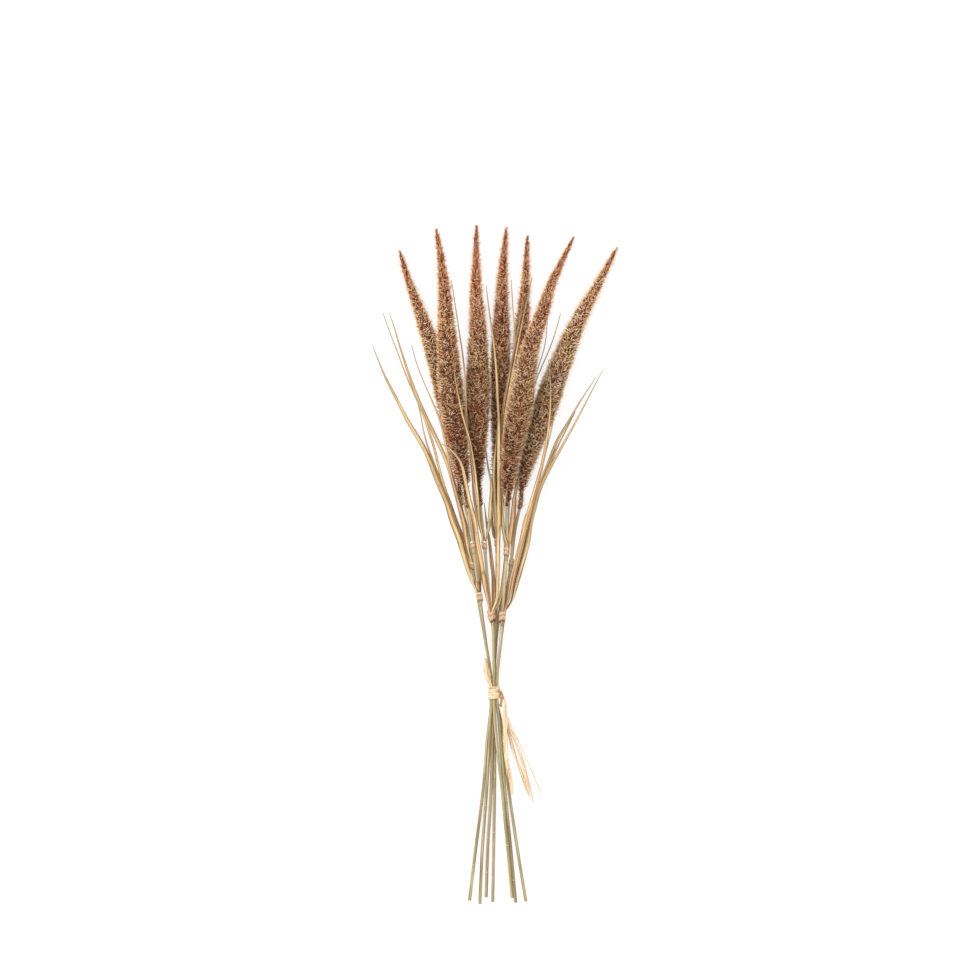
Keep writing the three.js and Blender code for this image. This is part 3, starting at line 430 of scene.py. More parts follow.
# ---- plants
class Plant:
    """One plant of the table: its middle line from its tip to its cut end, and its spike."""

    def __init__(self, number, spec):
        vars(self).update({"top": 1, "pale": 0, **spec})
        self.number = number
        across, level = self.packed
        column = TIE_COLUMN + across * MM / GRID
        height = PACK_HEIGHT + level * PACK_PITCH
        reach = PACK_REACH / GRID
        held = [(column, TIE_ROW - reach, height), (column, TIE_ROW + reach, height)]
        columns, rows, heights = np.array(self.above + held + self.below, float).T
        self.tip = rows[0]
        self.end = rows[-1]
        self.column_at = Smooth(rows, columns)
        self.height_at = Smooth(rows, heights)

    def at(self, rows):
        x = (self.column_at(rows) - ORIGIN_COLUMN) * GRID
        return np.stack([x, (ORIGIN_ROW - rows) * GRID, self.height_at(rows) * MM], -1)

    def ahead(self, rows):
        return unit(self.at(rows - 0.5) - self.at(rows + 0.5))

    def directions(self, rows, angle):
        """Out from the middle line, round it, and on to the tip."""
        ahead = self.ahead(rows)
        return *rolled(*across_path(ahead), angle), ahead

    def around(self, rows, radius, angle):
        """Points at this distance from the middle line, in this direction round it."""
        out, _, _ = self.directions(rows, angle)
        return self.at(rows) + out * np.asarray(radius)[..., None]

    def share(self, rows):
        """Places on the spike, from its tip (0) to the end of its body (1)."""
        return (rows - self.tip) / (self.body - self.tip)

    def radius(self, rows):
        """Outer radius of the spike."""
        share = self.share(rows)
        least = np.where(share > 0.5, NECK_RADIUS, 0)
        fuller = 1 + (self.top - 1) * smoothstep(share, 0.75, 0.4)
        plain = np.interp(share, *np.array(PROFILE).T) * self.girth
        return np.maximum(plain * fuller, least) * MM

    def core(self, rows):
        """Radius of the core that florets and bristles stand on."""
        outer = self.radius(rows)
        return outer - np.minimum(CORE_DEPTH, CORE_SHARE * outer)


BUNCH = [Plant(k + 1, spec) for k, spec in enumerate(PLANTS)]


def top_of(numbers, points):
    """Height of the top of these plants over points of the floor."""
    rows = ORIGIN_ROW - points[:, 1] / GRID
    top = np.zeros(len(points))
    for plant in (BUNCH[number - 1] for number in numbers):
        centre = plant.at(rows)
        side, _ = across_path(plant.ahead(rows))
        radius = np.where(rows < plant.neck, plant.radius(rows), STEM_RADIUS)
        off = (points[:, 0] - centre[:, 0]) * side[:, 0]
        hit = (rows > plant.tip) & (rows < plant.end) & (np.abs(off) < radius)
        bulge = np.sqrt(np.maximum(radius * radius - off * off, 0))
        top = np.where(hit, np.maximum(top, centre[:, 2] + bulge), top)
    return top


# ---- meshes
class Skin:
    """Points and faces of one piece. Each face corner has two patterns: where it lies on its strand
    (share across, metres along) and what its strand is like (a tone, and share along or a mark)."""

    def __init__(self):
        self.points = []
        self.faces = []
        self.count = 0

    def place(self, points):
        """Adds points, kept above the floor, and returns the number of the first."""
        first = self.count
        points[..., 2] = np.maximum(points[..., 2], FLOOR_GAP)
        self.points.append(points.reshape(-1, 3))
        self.count += points.size // 3
        return first

    def face(self, corners, pattern, tone, slot):
        """Adds faces, a row of corners each, with the patterns of every corner."""
        self.faces.append((corners, slot, pattern.reshape(-1, 2), tone.reshape(-1, 2)))

    def copies(self, shape, points, tones, length, slot):
        """A copy of a small shape for each row of points, each with its own tone."""
        number, each = points.shape[:2]
        first = self.place(points) + np.arange(number)[:, None, None] * each
        for size in (3, 4):
            faces = np.array([face for face in shape["faces"] if len(face) == size])
            corners = first + faces[None]
            along = np.broadcast_to(shape["along"][faces], corners.shape)
            turn = np.broadcast_to(shape["turn"][faces], corners.shape)
            tone = np.broadcast_to(tones[:, None, None], corners.shape)
            self.face(corners.reshape(-1, size), np.stack([turn, along * length[:, None, None]], -1),
                      np.stack([tone, along], -1), slot)

    def tube(self, strands, metres, tone, slot, turn=None, share=None, closed=False):
        """Skin over strands of points that run side by side round a tube, with flat ends, or with
        the last ring joined to the first."""
        rings = np.stack(strands, 1)
        count, around = rings.shape[:2]
        turn = np.linspace(0, 1, around + 1) if turn is None else turn
        share = np.linspace(0, 1, count) if share is None else share
        index = self.place(rings) + np.arange(count * around).reshape(count, around)
        ring = np.arange(count if closed else count - 1)[:, None, None] + [0, 0, 1, 1]
        side = np.arange(around)[:, None] + [0, 1, 1, 0]
        ring, side = np.broadcast_arrays(ring % count, side)
        order = -1 if inside_out(rings, closed) else 1
        corners = index[ring, side % around][..., ::order]
        pattern = np.stack([turn[side], metres[ring]], -1)[..., ::order, :]
        tones = np.stack([np.full(ring.shape, tone), share[ring]], -1)[..., ::order, :]
        self.face(corners.reshape(-1, 4), pattern, tones, slot)
        if closed:
            return
        for cap, k in ((index[0][::-1], 0), (index[-1], -1)):
            flat = np.stack([turn[:-1], np.full(around, metres[k])], -1)
            self.face(cap[None, ::order], flat, np.full((around, 2), [tone, share[k]]), slot)

    def build(self, name, materials):
        mesh = bpy.data.meshes.new(name)
        groups, slots, patterns, tones = zip(*self.faces)
        corners = np.concatenate([group.ravel() for group in groups]).astype(np.int32)
        counts, sizes = np.array([group.shape for group in groups]).T
        sizes = np.repeat(sizes, counts)
        starts = np.concatenate([[0], np.cumsum(sizes)[:-1]]).astype(np.int32)
        mesh.vertices.add(self.count)
        mesh.vertices.foreach_set("co", np.concatenate(self.points).astype(np.float32).ravel())
        mesh.loops.add(len(corners))
        mesh.loops.foreach_set("vertex_index", corners)
        mesh.polygons.add(len(sizes))
        mesh.polygons.foreach_set("loop_start", starts)
        mesh.polygons.foreach_set("material_index", np.repeat(slots, counts).astype(np.int32))
        mesh.polygons.foreach_set("use_smooth", np.ones(len(sizes), bool))
        mesh.update(calc_edges=True)
        for layer, values in (("Pattern", patterns), ("Tone", tones)):
            uvs = mesh.uv_layers.new(name=layer)
            uvs.uv.foreach_set("vector", np.concatenate(values).astype(np.float32).ravel())
        for material in materials:
            mesh.materials.append(material)
        mesh.validate()
        return put(name, mesh)


def inside_out(rings, closed):
    """Whether a tube's faces point inwards, from the sign of the volume in it."""
    lower = rings if closed else rings[:-1]
    upper = np.roll(rings, -1, 0) if closed else rings[1:]
    centre = rings.reshape(-1, 3).mean(0)
    a, b = lower - centre, np.roll(lower, -1, 1) - centre
    c, d = np.roll(upper, -1, 1) - centre, upper - centre
    return (np.cross(a, b) * c).sum() + (np.cross(a, c) * d).sum() < 0


def put(name, data):
    """A new object of the scene that shows a mesh, a light or a camera."""
    made = bpy.data.objects.new(name, data)
    bpy.context.scene.collection.objects.link(made)
    return made


def dress(skin, name, materials, node):
    """Puts a finished piece in place of its CAD node."""
    piece = skin.build(name, materials)
    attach(piece, "root")
    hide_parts(node)


# small shapes that are copied by the thousand: a bent bristle and a floret with a pointed foot.
# Each ring has its share of the length, and of the half width there.
BRISTLE = {
    "faces": [(0, 2, 1), (0, 1, 4, 3), (1, 2, 5, 4), (2, 0, 3, 5), (3, 4, 7, 6), (4, 5, 8, 7),
              (5, 3, 6, 8), (6, 7, 9), (7, 8, 9), (8, 6, 9)],
    "along": np.array([0, 0, 0, 0.4, 0.4, 0.4, 0.75, 0.75, 0.75, 1]),
    "turn": np.array([0, 0.33, 0.67, 0, 0.33, 0.67, 0, 0.33, 0.67, 0.5]),
    "foot": 0, "sides": 3, "rings": [(0, 0.8), (0.4, 1), (0.75, 0.75)],
}
FLORET = {
    "faces": [(0, 2, 1), (0, 3, 2), (0, 4, 3), (0, 1, 4),
              (1, 2, 6, 5), (2, 3, 7, 6), (3, 4, 8, 7), (4, 1, 5, 8),
              (5, 6, 9), (6, 7, 9), (7, 8, 9), (8, 5, 9)],
    "along": np.array([0, 0.3, 0.3, 0.3, 0.3, 0.65, 0.65, 0.65, 0.65, 1]),
    "turn": np.array([0.5, 0, 0.25, 0.5, 0.75, 0, 0.25, 0.5, 0.75, 0.5]),
    "foot": 1, "sides": 4, "rings": [(0.3, 1), (0.65, 0.8)],
}


def stand(shape, base, lean, side, length, wide, deep, bend=0):
    """Points of small shapes on base that lean this way and are bent by a share of their length.
    wide is the half width along side, and deep the one across it."""
    third = np.cross(lean, side)
    points = [base] * shape["foot"]
    for along, share in shape["rings"]:
        centre = base + (lean * along + bend * along * along) * length[:, None]
        for angle in round_angles(shape["sides"]):
            out = side * (wide * math.cos(angle))[:, None] + third * (deep * math.sin(angle))[:, None]
            points.append(centre + out * share)
    points.append(base + (lean + bend) * length[:, None])
    return np.stack(points, 1)


# ---- spikes
SPIKE_SEED = 10
GOLDEN_ANGLE = math.pi * (3 - math.sqrt(5))
ANGLE_SCATTER = 0.2
SPREAD_SAMPLES = 500
FULL_BODY = 6 * MM  # outer radius from which florets and bristles have their full size
BARE_BODY = 0.5 * MM  # and down to which bristles get finer and more even

CORE_SIDES = 28
CORE_STEP = 2  # rows between the rings of a core
CORE_DEPTH = 3.6 * MM  # from the core to the outer radius of a full body
CORE_SHARE = 0.55  # the same as a share of a thin body's radius
CORE_UNEVEN = (0.93, 1.05)

FLORET_SPACING = 2.9 * MM
BARE_TIP = 3  # rows at the tip that have only bristles
FLORET_LENGTH = 2.7 * MM
FLORET_WIDE = 0.75 * MM  # half width and half thickness
FLORET_DEEP = 0.55 * MM
FLORET_ROOT = 0.3 * MM  # its depth in the core
FLORET_LEAST = 0.35  # size of the smallest against a full one
FLORET_UNEVEN = (0.8, 1.2)
FLORET_OUT = 0.8  # lean away from the core and on towards the tip
FLORET_AHEAD = 0.75
FLORET_SCATTER = 0.12

TIP_SPREAD = 3.6 * MM  # least width that the bristles are counted by, near the tip
BRISTLE_ROOT = 0.2 * MM
BRISTLE_LENGTHS = (1.8 * MM, 7 * MM)
# reach past the outer radius, spread sideways, curl, and radius of the bristles, with their tones
SHORT_BRISTLES = dict(spacing=1.8 * MM, reach=(-2.4 * MM, -0.9 * MM), sideways=0.5, curl=0.25,
                      radius=(0.26 * MM, 0.38 * MM), tones=(0, 0.6))
LONG_BRISTLES = dict(spacing=1.85 * MM, reach=(-1 * MM, 1.2 * MM), sideways=0.75, curl=0.45,
                     radius=(0.24 * MM, 0.4 * MM), tones=(0.2, 1))
# lean of the bristles, in radians from straight out towards the tip, and flare of their reach,
# at places from the tip (0) to the end of the body (1)
LEAN_PLACES = [0, 0.12, 0.6, 0.9, 1, 1.04]
LEANS = [0.6, 0.5, 0.5, 0.4, 0.1, 0.7]
FLARES = [1.4 * MM, 0.4 * MM, 0.2 * MM, 1.4 * MM, 2.4 * MM, 0.6 * MM]
LEAN_SCATTER = 0.22
LEAN_LIMITS = (-0.3, 1.25)

TUFT_BRISTLES = 9
TUFT_ROWS = (2, 5)  # behind the tip
TUFT_LENGTHS = (2.16 * MM, 3.6 * MM)
TUFT_PARTING = (0.1, 0.5)  # lean out from straight ahead
TUFT_BEND = 0.2
TUFT_TONES = (-0.4, -0.1)


def spread(plant, rng, spacing, low):
    """Rows and directions of points spread evenly over a spike's core, from a row to its neck."""
    rows = np.linspace(low, plant.neck, SPREAD_SAMPLES)
    radius = np.maximum(plant.core(rows) + plant.radius(rows), TIP_SPREAD) / 2
    area = np.cumsum(math.tau * radius) * (rows[1] - rows[0]) * GRID
    number = int(area[-1] / spacing ** 2)
    share = (np.arange(number) + rng.uniform(0, 1, number)) / number
    angle = np.arange(number) * GOLDEN_ANGLE + rng.normal(0, ANGLE_SCATTER, number)
    return np.interp(share * area[-1], area, rows), angle


def spike_core(skin, plant, rng):
    rows = np.arange(plant.neck, plant.tip + 1, -CORE_STEP)
    radius = plant.core(rows)[:, None] * rng.uniform(*CORE_UNEVEN, (len(rows), CORE_SIDES))
    strands = [plant.around(rows, radius[:, k], angle)
               for k, angle in enumerate(round_angles(CORE_SIDES))]
    skin.tube(strands, (plant.neck - rows) * GRID, 0.5, 0)


def spike_florets(skin, plant, rng):
    rows, angle = spread(plant, rng, FLORET_SPACING, plant.tip + BARE_TIP)
    out, _, ahead = plant.directions(rows, angle)
    size = np.clip(plant.radius(rows) / FULL_BODY, FLORET_LEAST, 1)
    size = size * rng.uniform(*FLORET_UNEVEN, len(rows))
    base = plant.around(rows, plant.core(rows) - FLORET_ROOT, angle)
    lean = out * FLORET_OUT + ahead * FLORET_AHEAD
    lean = unit(lean + rng.normal(0, FLORET_SCATTER, out.shape))
    side = unit(np.cross(lean, ahead))
    points = stand(FLORET, base, lean, side, FLORET_LENGTH * size, FLORET_WIDE * size,
                   FLORET_DEEP * size)
    skin.copies(FLORET, points, rng.uniform(0, 1, len(rows)), FLORET_LENGTH * size, 1)


def spike_bristles(skin, plant, rng, kind):
    """Bristles of one kind all over a spike."""
    rows, angle = spread(plant, rng, kind["spacing"], plant.tip)
    out, turn, ahead = plant.directions(rows, angle)
    number = len(rows)
    outer, core = plant.radius(rows), plant.core(rows)
    body = smoothstep(outer, BARE_BODY, FULL_BODY)
    tilt = np.interp(plant.share(rows), LEAN_PLACES, LEANS) + rng.normal(0, LEAN_SCATTER, number)
    tilt = np.clip(tilt, *LEAN_LIMITS)
    reach = outer - core + rng.uniform(*kind["reach"], number) * (0.5 + 0.5 * body)
    reach = reach + np.interp(plant.share(rows), LEAN_PLACES, FLARES)
    length = np.clip(reach / np.cos(tilt), *BRISTLE_LENGTHS)
    lean = unit(out * np.cos(tilt)[:, None] + ahead * np.sin(tilt)[:, None]
                + turn * rng.normal(0, kind["sideways"], number)[:, None])
    bend = ahead * rng.normal(0.05, kind["curl"] / 2, number)[:, None]
    bend = bend + turn * rng.normal(0, kind["curl"], number)[:, None]
    side = unit(np.cross(lean, ahead))
    radius = rng.uniform(*kind["radius"], number) * (0.75 + 0.25 * body)
    base = plant.around(rows, core - BRISTLE_ROOT, angle)
    points = stand(BRISTLE, base, lean, side, length, radius, radius, bend)
    # plant.pale makes the bristles paler: painted light on the outer spikes
    skin.copies(BRISTLE, points, rng.uniform(*kind["tones"], number) + plant.pale, length, 2)


def spike_tuft(skin, plant, rng):
    """Bristles that part round the very tip."""
    rows = plant.tip + rng.uniform(*TUFT_ROWS, TUFT_BRISTLES)
    out, turn, ahead = plant.directions(rows, np.arange(TUFT_BRISTLES) * GOLDEN_ANGLE)
    lean = unit(ahead + out * rng.uniform(*TUFT_PARTING, TUFT_BRISTLES)[:, None])
    length = rng.uniform(*TUFT_LENGTHS, TUFT_BRISTLES)
    radius = np.full(TUFT_BRISTLES, LONG_BRISTLES["radius"][0])
    side = unit(np.cross(lean, turn))
    points = stand(BRISTLE, plant.at(rows), lean, side, length, radius, radius, out * TUFT_BEND)
    skin.copies(BRISTLE, points, rng.uniform(*TUFT_TONES, TUFT_BRISTLES), length, 2)


def spike(plant, looks):
    rng = np.random.default_rng(SPIKE_SEED + plant.number)
    skin = Skin()
    spike_core(skin, plant, rng)
    spike_florets(skin, plant, rng)
    spike_bristles(skin, plant, rng, SHORT_BRISTLES)
    spike_bristles(skin, plant, rng, LONG_BRISTLES)
    spike_tuft(skin, plant, rng)
    materials = [looks["core"], looks["floret"], looks["bristle"]]
    dress(skin, f"spike_{plant.number}", materials, f"head_{plant.number}")


# ---- stems
STEM_SEED = 30
STEM_SIDES = 24
STEM_STEP = 3  # rows between the rings of a stem
STEM_RIBS = 8
RIB_HEIGHT = 0.035  # as a share of the radius, as swell and waist are
JOINT_SWELL = 0.08
JOINT_WAIST = 0.06
JOINT_WIDTH = 0.9 * MM
JOINT_MARK = 1.6 * MM  # width of its colours
JOINT_ROWS = np.linspace(-4, 4, 17)  # rings round a joint, in rows from it
PITH_DEPTH = 1.4 * MM
PITH_EDGE = 0.1 * MM  # where the pith's rim lies in the pattern, before the cut
CUT_SHARES = [0.5, 0.6, 0.94]  # radius of the pith's floor, of its edge and of the cut's edge


def stem(plant, looks):
    """Ribbed stalk with one swollen joint, cut square at the end round its shrunken pith."""
    rng = np.random.default_rng(STEM_SEED + plant.number)
    end = plant.end
    top = plant.neck - SOCKET_DEPTH / GRID
    rows = [np.arange(end - 0.5, top, -STEM_STEP), [top], plant.joint + JOINT_ROWS]
    rows = np.unique(np.concatenate(rows))[::-1]
    off = (rows - plant.joint) * GRID / JOINT_WIDTH
    swell = 1 + JOINT_SWELL * np.exp(-off * off) - JOINT_WAIST * np.exp(-(off + 2) ** 2)
    rows = np.concatenate([[end - PITH_DEPTH / GRID, end, end], rows])
    swell = np.concatenate([CUT_SHARES, swell])
    metres = (end - rows) * GRID
    metres[:2] = -PITH_DEPTH, -PITH_EDGE
    mark = np.exp(-((rows - plant.joint) * GRID / JOINT_MARK) ** 2)
    start = rng.uniform(0, math.tau)
    strands = []
    for angle in round_angles(STEM_SIDES):
        rib = 1 + RIB_HEIGHT * math.cos(STEM_RIBS * angle + start)
        strands.append(plant.around(rows, STEM_RADIUS * swell * rib, angle))
    skin = Skin()
    skin.tube(strands, metres, plant.brown, 0, share=mark)
    dress(skin, f"stalk_{plant.number}", [looks["stem"]], f"stem_{plant.number}")


# ---- leaves
LEAF_SEED = 51
BLADE_STEPS = 64
BLADE_COLUMNS = 7  # points across one face of a blade
BLADE_TIP = 0.7 * MM
BLADE_ROOT = 0.6  # width at the collar, as a share
BLADE_POWER = 1.3  # how late a blade starts to taper
BLADE_THICK = 0.26 * MM
BLADE_EDGE = 0.1 * MM
BLADE_TWIST = 0.45
BLADE_WAVER = 0.07  # of its width
BLADE_FOLD = 0.3  # height of its ridge as a share of its half width
FOLD_WAVER = 0.2
BLADE_SETTLE = 0.2  # share of its length in which it turns flat
BLADE_CLEARANCE = 0.9 * MM  # over what it lies on
DRAPE_SAMPLES = 61
DRAPE_START = 4  # samples next to the collar that stay where they are
DRAPE_PASSES = 40
COLLAR_SIDES = 32
COLLAR_SKIN = 0.1 * MM  # between the stem and what is wrapped round it
COLLAR_PALE = 3  # how fast the upper ring gets paler below the bulk at which it is dark
COLLAR_DARK = 1.2
COLLAR_COLOURS = 4.5  # millimetres from the collar's middle to where its colours end
KNOB_COLOURS = 40  # so a knob has just the middle ones
# profiles: millimetres towards the cut end, and out from the stem's skin
COLLAR = [
    (-4.2, 0.5), (-4.4, 0.9), (-3.9, 1.3), (-2.9, 1.35), (-2.3, 0.95), (-1.2, 1), (0.2, 1.3),
    (1.6, 1.25), (2.8, 0.9), (3.6, 0.5), (4.2, 0.25), (4.2, 0), (0, 0), (-4, 0.1),
]
SHEATH = [(3, 0.06), (3, 0.4), (6, 0.26), (9, 0.1), (9, 0.02), (5, 0.02)]
KNOB = [(-5, 0.1), (-3.6, 0.4), (-2, 0.9), (0, 1.2), (2, 1), (3.8, 0.5), (5, 0.1), (0, 0)]
COLLAR_LUMPS = 0.16  # how uneven each of them is
SHEATH_LUMPS = 0.06
KNOB_LUMPS = 0.2


def ribbon(skin, line, turn, half, fold, tone):
    """Thin folded strip along a line. turn is its roll at each point, half its half width and
    fold the height of its ridge as a share of that."""
    across, out = rolled(*across_path(along_path(line)), turn)
    places = np.linspace(1, -1, BLADE_COLUMNS)
    strands = []
    for face in (1, -1):
        for place in places[::face]:
            thick = BLADE_EDGE + (BLADE_THICK - BLADE_EDGE) * (1 - place * place)
            rise = half * fold * (1 - abs(place)) + face * np.minimum(thick, half) / 2
            strands.append(line + across * (place * half)[:, None] + out * rise[:, None])
    columns = np.concatenate([places, places[::-1], places[:1]])
    skin.tube(strands, distances(line), tone, 0, turn=(columns + 1) / 2)


def blade_line(leaf, spec):
    """Middle line of a blade, which lies taut over what is under it."""
    rows = leaf["row"] - COLLAR_LENGTH / GRID / 2 * np.array([0.1, 1.2])
    outward = STEM_RADIUS + GAP + COLLAR_WALL / 2
    start = BUNCH[leaf["plant"] - 1].around(rows, outward, spec["side"])
    line = smooth_path([*start, *(plan(*key) for key in spec["route"])], DRAPE_SAMPLES)
    if "over" in spec:
        edge = np.array([spec["width"] * MM / 2 + GAP, 0, 0])
        under = [top_of(spec["over"], line + off) for off in (0 * edge, edge, -edge)]
        least = np.max(under, axis=0) + BLADE_CLEARANCE
        line[DRAPE_START:, 2] = np.maximum(line[DRAPE_START:, 2], least[DRAPE_START:])
        for _ in range(DRAPE_PASSES):
            for k in range(DRAPE_START, len(line) - 1):
                line[k, 2] = max(line[k, 2], (line[k - 1, 2] + line[k + 1, 2]) / 2)
    return smooth_path(line, BLADE_STEPS, steps=4)


def blade(skin, leaf, spec, rng):
    line = blade_line(leaf, spec)
    t = np.linspace(0, 1, BLADE_STEPS)
    first = spec["side"] - UP
    final = math.copysign(math.pi, first) if math.sin(spec["side"]) < 0 else 0
    turn = first + (final - first) * smoothstep(t, 0, BLADE_SETTLE)
    turn = turn + BLADE_TWIST * wave(rng, t, 1.3) * smoothstep(t, 0.15, 0.4)
    width = spec["width"] * MM
    taper = width + (BLADE_TIP - width) * t ** spec.get("power", BLADE_POWER)
    opening = BLADE_ROOT + (1 - BLADE_ROOT) * smoothstep(t, 0.04, 0.2)
    half = taper * opening * (1 + BLADE_WAVER * wave(rng, t, 5)) / 2
    fold = BLADE_FOLD + FOLD_WAVER * wave(rng, t, 1.7)
    ribbon(skin, line, turn, half, fold, spec.get("tone", rng.uniform(0.2, 0.9)))


def lathe(skin, plant, row, profile, lumps, tone, slot, rng, colours=None):
    """Closed skin turned round a stem from a profile. lumps is how uneven it is, and colours how
    many millimetres to each side of the row its pattern runs."""
    places, out = np.array(profile).T
    angles = round_angles(COLLAR_SIDES)

    def lump(size, waves):
        return lumps * size * np.sin(waves * angles + rng.uniform(0, math.tau))

    uneven = 1 + lump(1, 3) + lump(0.6, 7)
    shift = lump(4, 2) + lump(3, 9)
    strands = []
    for k, angle in enumerate(angles):
        rows = row + (places + shift[k]) * MM / GRID
        radius = STEM_RADIUS + COLLAR_SKIN + out * MM * uneven[k]
        strands.append(plant.around(rows, radius, angle))
    share = np.interp(places, [-colours, colours], [0, 1]) if colours else 0 * places
    skin.tube(strands, distances(profile) * MM, tone, slot, share=share, closed=True)


def collar(skin, leaf, rng):
    """Lumpy ring where the blades part from the sheath, which runs on below it, and the dark
    swelling of some sheaths a little above it."""
    plant, row, bulk = BUNCH[leaf["plant"] - 1], leaf["row"], leaf["bulk"]
    ring = np.array(COLLAR) * [bulk ** 0.5, bulk]
    pale = min(1, max(0, COLLAR_PALE * (COLLAR_DARK - bulk)))
    lathe(skin, plant, row, ring, COLLAR_LUMPS * bulk, pale, 1, rng, COLLAR_COLOURS)
    lathe(skin, plant, row, SHEATH, SHEATH_LUMPS, plant.brown, 2, rng)
    if "knob" in leaf:
        lathe(skin, plant, leaf["knob"], KNOB, KNOB_LUMPS, 1, 0, rng, KNOB_COLOURS)


def leaf_piece(number, leaf, looks):
    rng = np.random.default_rng(LEAF_SEED + number)
    skin = Skin()
    collar(skin, leaf, rng)
    for spec in leaf["blades"]:
        blade(skin, leaf, spec, rng)
    materials = [looks["leaf"], looks["collar"], looks["stem"]]
    dress(skin, leaf["name"].replace("leaf", "dry_leaf"), materials, leaf["name"])


# ---- raffia tie
TIE_SEED = 71
WRAP_TURNS = 6
WRAP_WIDTH = 13 * MM
WRAP_SEGMENTS = 96
WRAP_THICKNESS = 1.1 * MM
WRAP_RADIUS = 7 * MM  # that its pattern is measured by
WRAP_WAVER = 0.25 * MM
WRAP_HALF = 0.56  # half width of a turn, as a share of the pitch, so that turns overlap
STRAND_SIDES = 10
STRIP_WAVER = 0.12  # of its width
STRIP_FOLD = 0.25
STRIP_ROLL = 0.3
FRAY_STEPS = 14  # steps of the strip that a frayed fibre runs along
FRAY_START = 12  # first step that frays
FRAY_HALVES = (0.35 * MM, 0.1 * MM)  # half width of a fibre at its foot and end
FRAY_AWAY = (0.02 * MM, 0.14 * MM)  # how far it parts from the strip and rises with each step
FRAY_RISE = (-0.03 * MM, 0.06 * MM)


def pack_outline(angle):
    """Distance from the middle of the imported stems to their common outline."""
    reach = [across * np.cos(angle) + level * PACK_PITCH * np.sin(angle)
             for across, level in (plant.packed for plant in BUNCH)]
    return np.max(reach, axis=0) * MM + STEM_RADIUS + GAP


def wrap_turn(skin, number, rng):
    """One turn of the strand round the stems, rolled a little at its edges."""
    angle = round_angles(WRAP_SEGMENTS)
    pitch = WRAP_WIDTH / WRAP_TURNS
    middle = (number + 0.5) * pitch - WRAP_WIDTH / 2
    along = middle + pitch / 4 * np.cos(angle) + WRAP_WAVER * wave(rng, angle / math.tau, 2)
    half = pitch * (WRAP_HALF + 0.05 * wave(rng, angle / math.tau, 3))
    x, y, z = plan(TIE_COLUMN, TIE_ROW, PACK_HEIGHT)
    strands = []
    for turn in round_angles(STRAND_SIDES):
        radius = pack_outline(angle) + WRAP_THICKNESS * (0.5 + 0.5 * math.sin(turn))
        strands.append(np.stack([x + radius * np.cos(angle), y + along + half * math.cos(turn),
                                 z + radius * np.sin(angle)], -1))
    skin.tube(strands, angle * WRAP_RADIUS, rng.uniform(0, 1), 0, closed=True)


def raffia_strip(skin, spec, rng):
    """Flat strip of raffia, with fibres that fray from its edges."""
    line = smooth_path([plan(*key) for key in spec["route"]], BLADE_STEPS)
    t = np.linspace(0, 1, BLADE_STEPS)
    widths = np.interp(t, np.linspace(0, 1, len(spec["widths"])), spec["widths"]) * MM
    half = widths / 2 * (1 + STRIP_WAVER * wave(rng, t, 6)) * (1 - 0.7 * smoothstep(t, 0.95, 1))
    turn = spec["lean"] * np.sin(3 * math.pi * t) + STRIP_ROLL * wave(rng, t, 2)
    ribbon(skin, line, turn, half, STRIP_FOLD + FOLD_WAVER * wave(rng, t, 3), spec["tone"])
    side, up = across_path(along_path(line))
    steps = np.arange(FRAY_STEPS)
    for start in rng.integers(FRAY_START, BLADE_STEPS - FRAY_STEPS, spec["frays"]):
        part = slice(start, start + FRAY_STEPS)
        hand = rng.choice([-1, 1])
        away = hand * (half[part] * 0.9 + rng.uniform(*FRAY_AWAY) * steps)
        fibre = line[part] + side[part] * away[:, None]
        fibre = fibre + up[part] * (rng.uniform(*FRAY_RISE) * steps)[:, None]
        ribbon(skin, fibre, turn[part], np.linspace(*FRAY_HALVES, FRAY_STEPS), 0.2, spec["tone"])


def tie(looks):
    rng = np.random.default_rng(TIE_SEED)
    skin = Skin()
    for number in range(WRAP_TURNS):
        wrap_turn(skin, number, rng)
    for spec in STRIPS:
        raffia_strip(skin, spec, rng)
    dress(skin, "raffia", [looks["raffia"]], "raffia_tie")


# ---- materials
def rgb(text):
    """Colour of a six-digit code, in linear light."""
    parts = [int(text[k:k + 2], 16) / 255 for k in (0, 2, 4)]
    return [c / 12.92 if c <= 0.04045 else ((c + 0.055) / 1.055) ** 2.4 for c in parts] + [1]


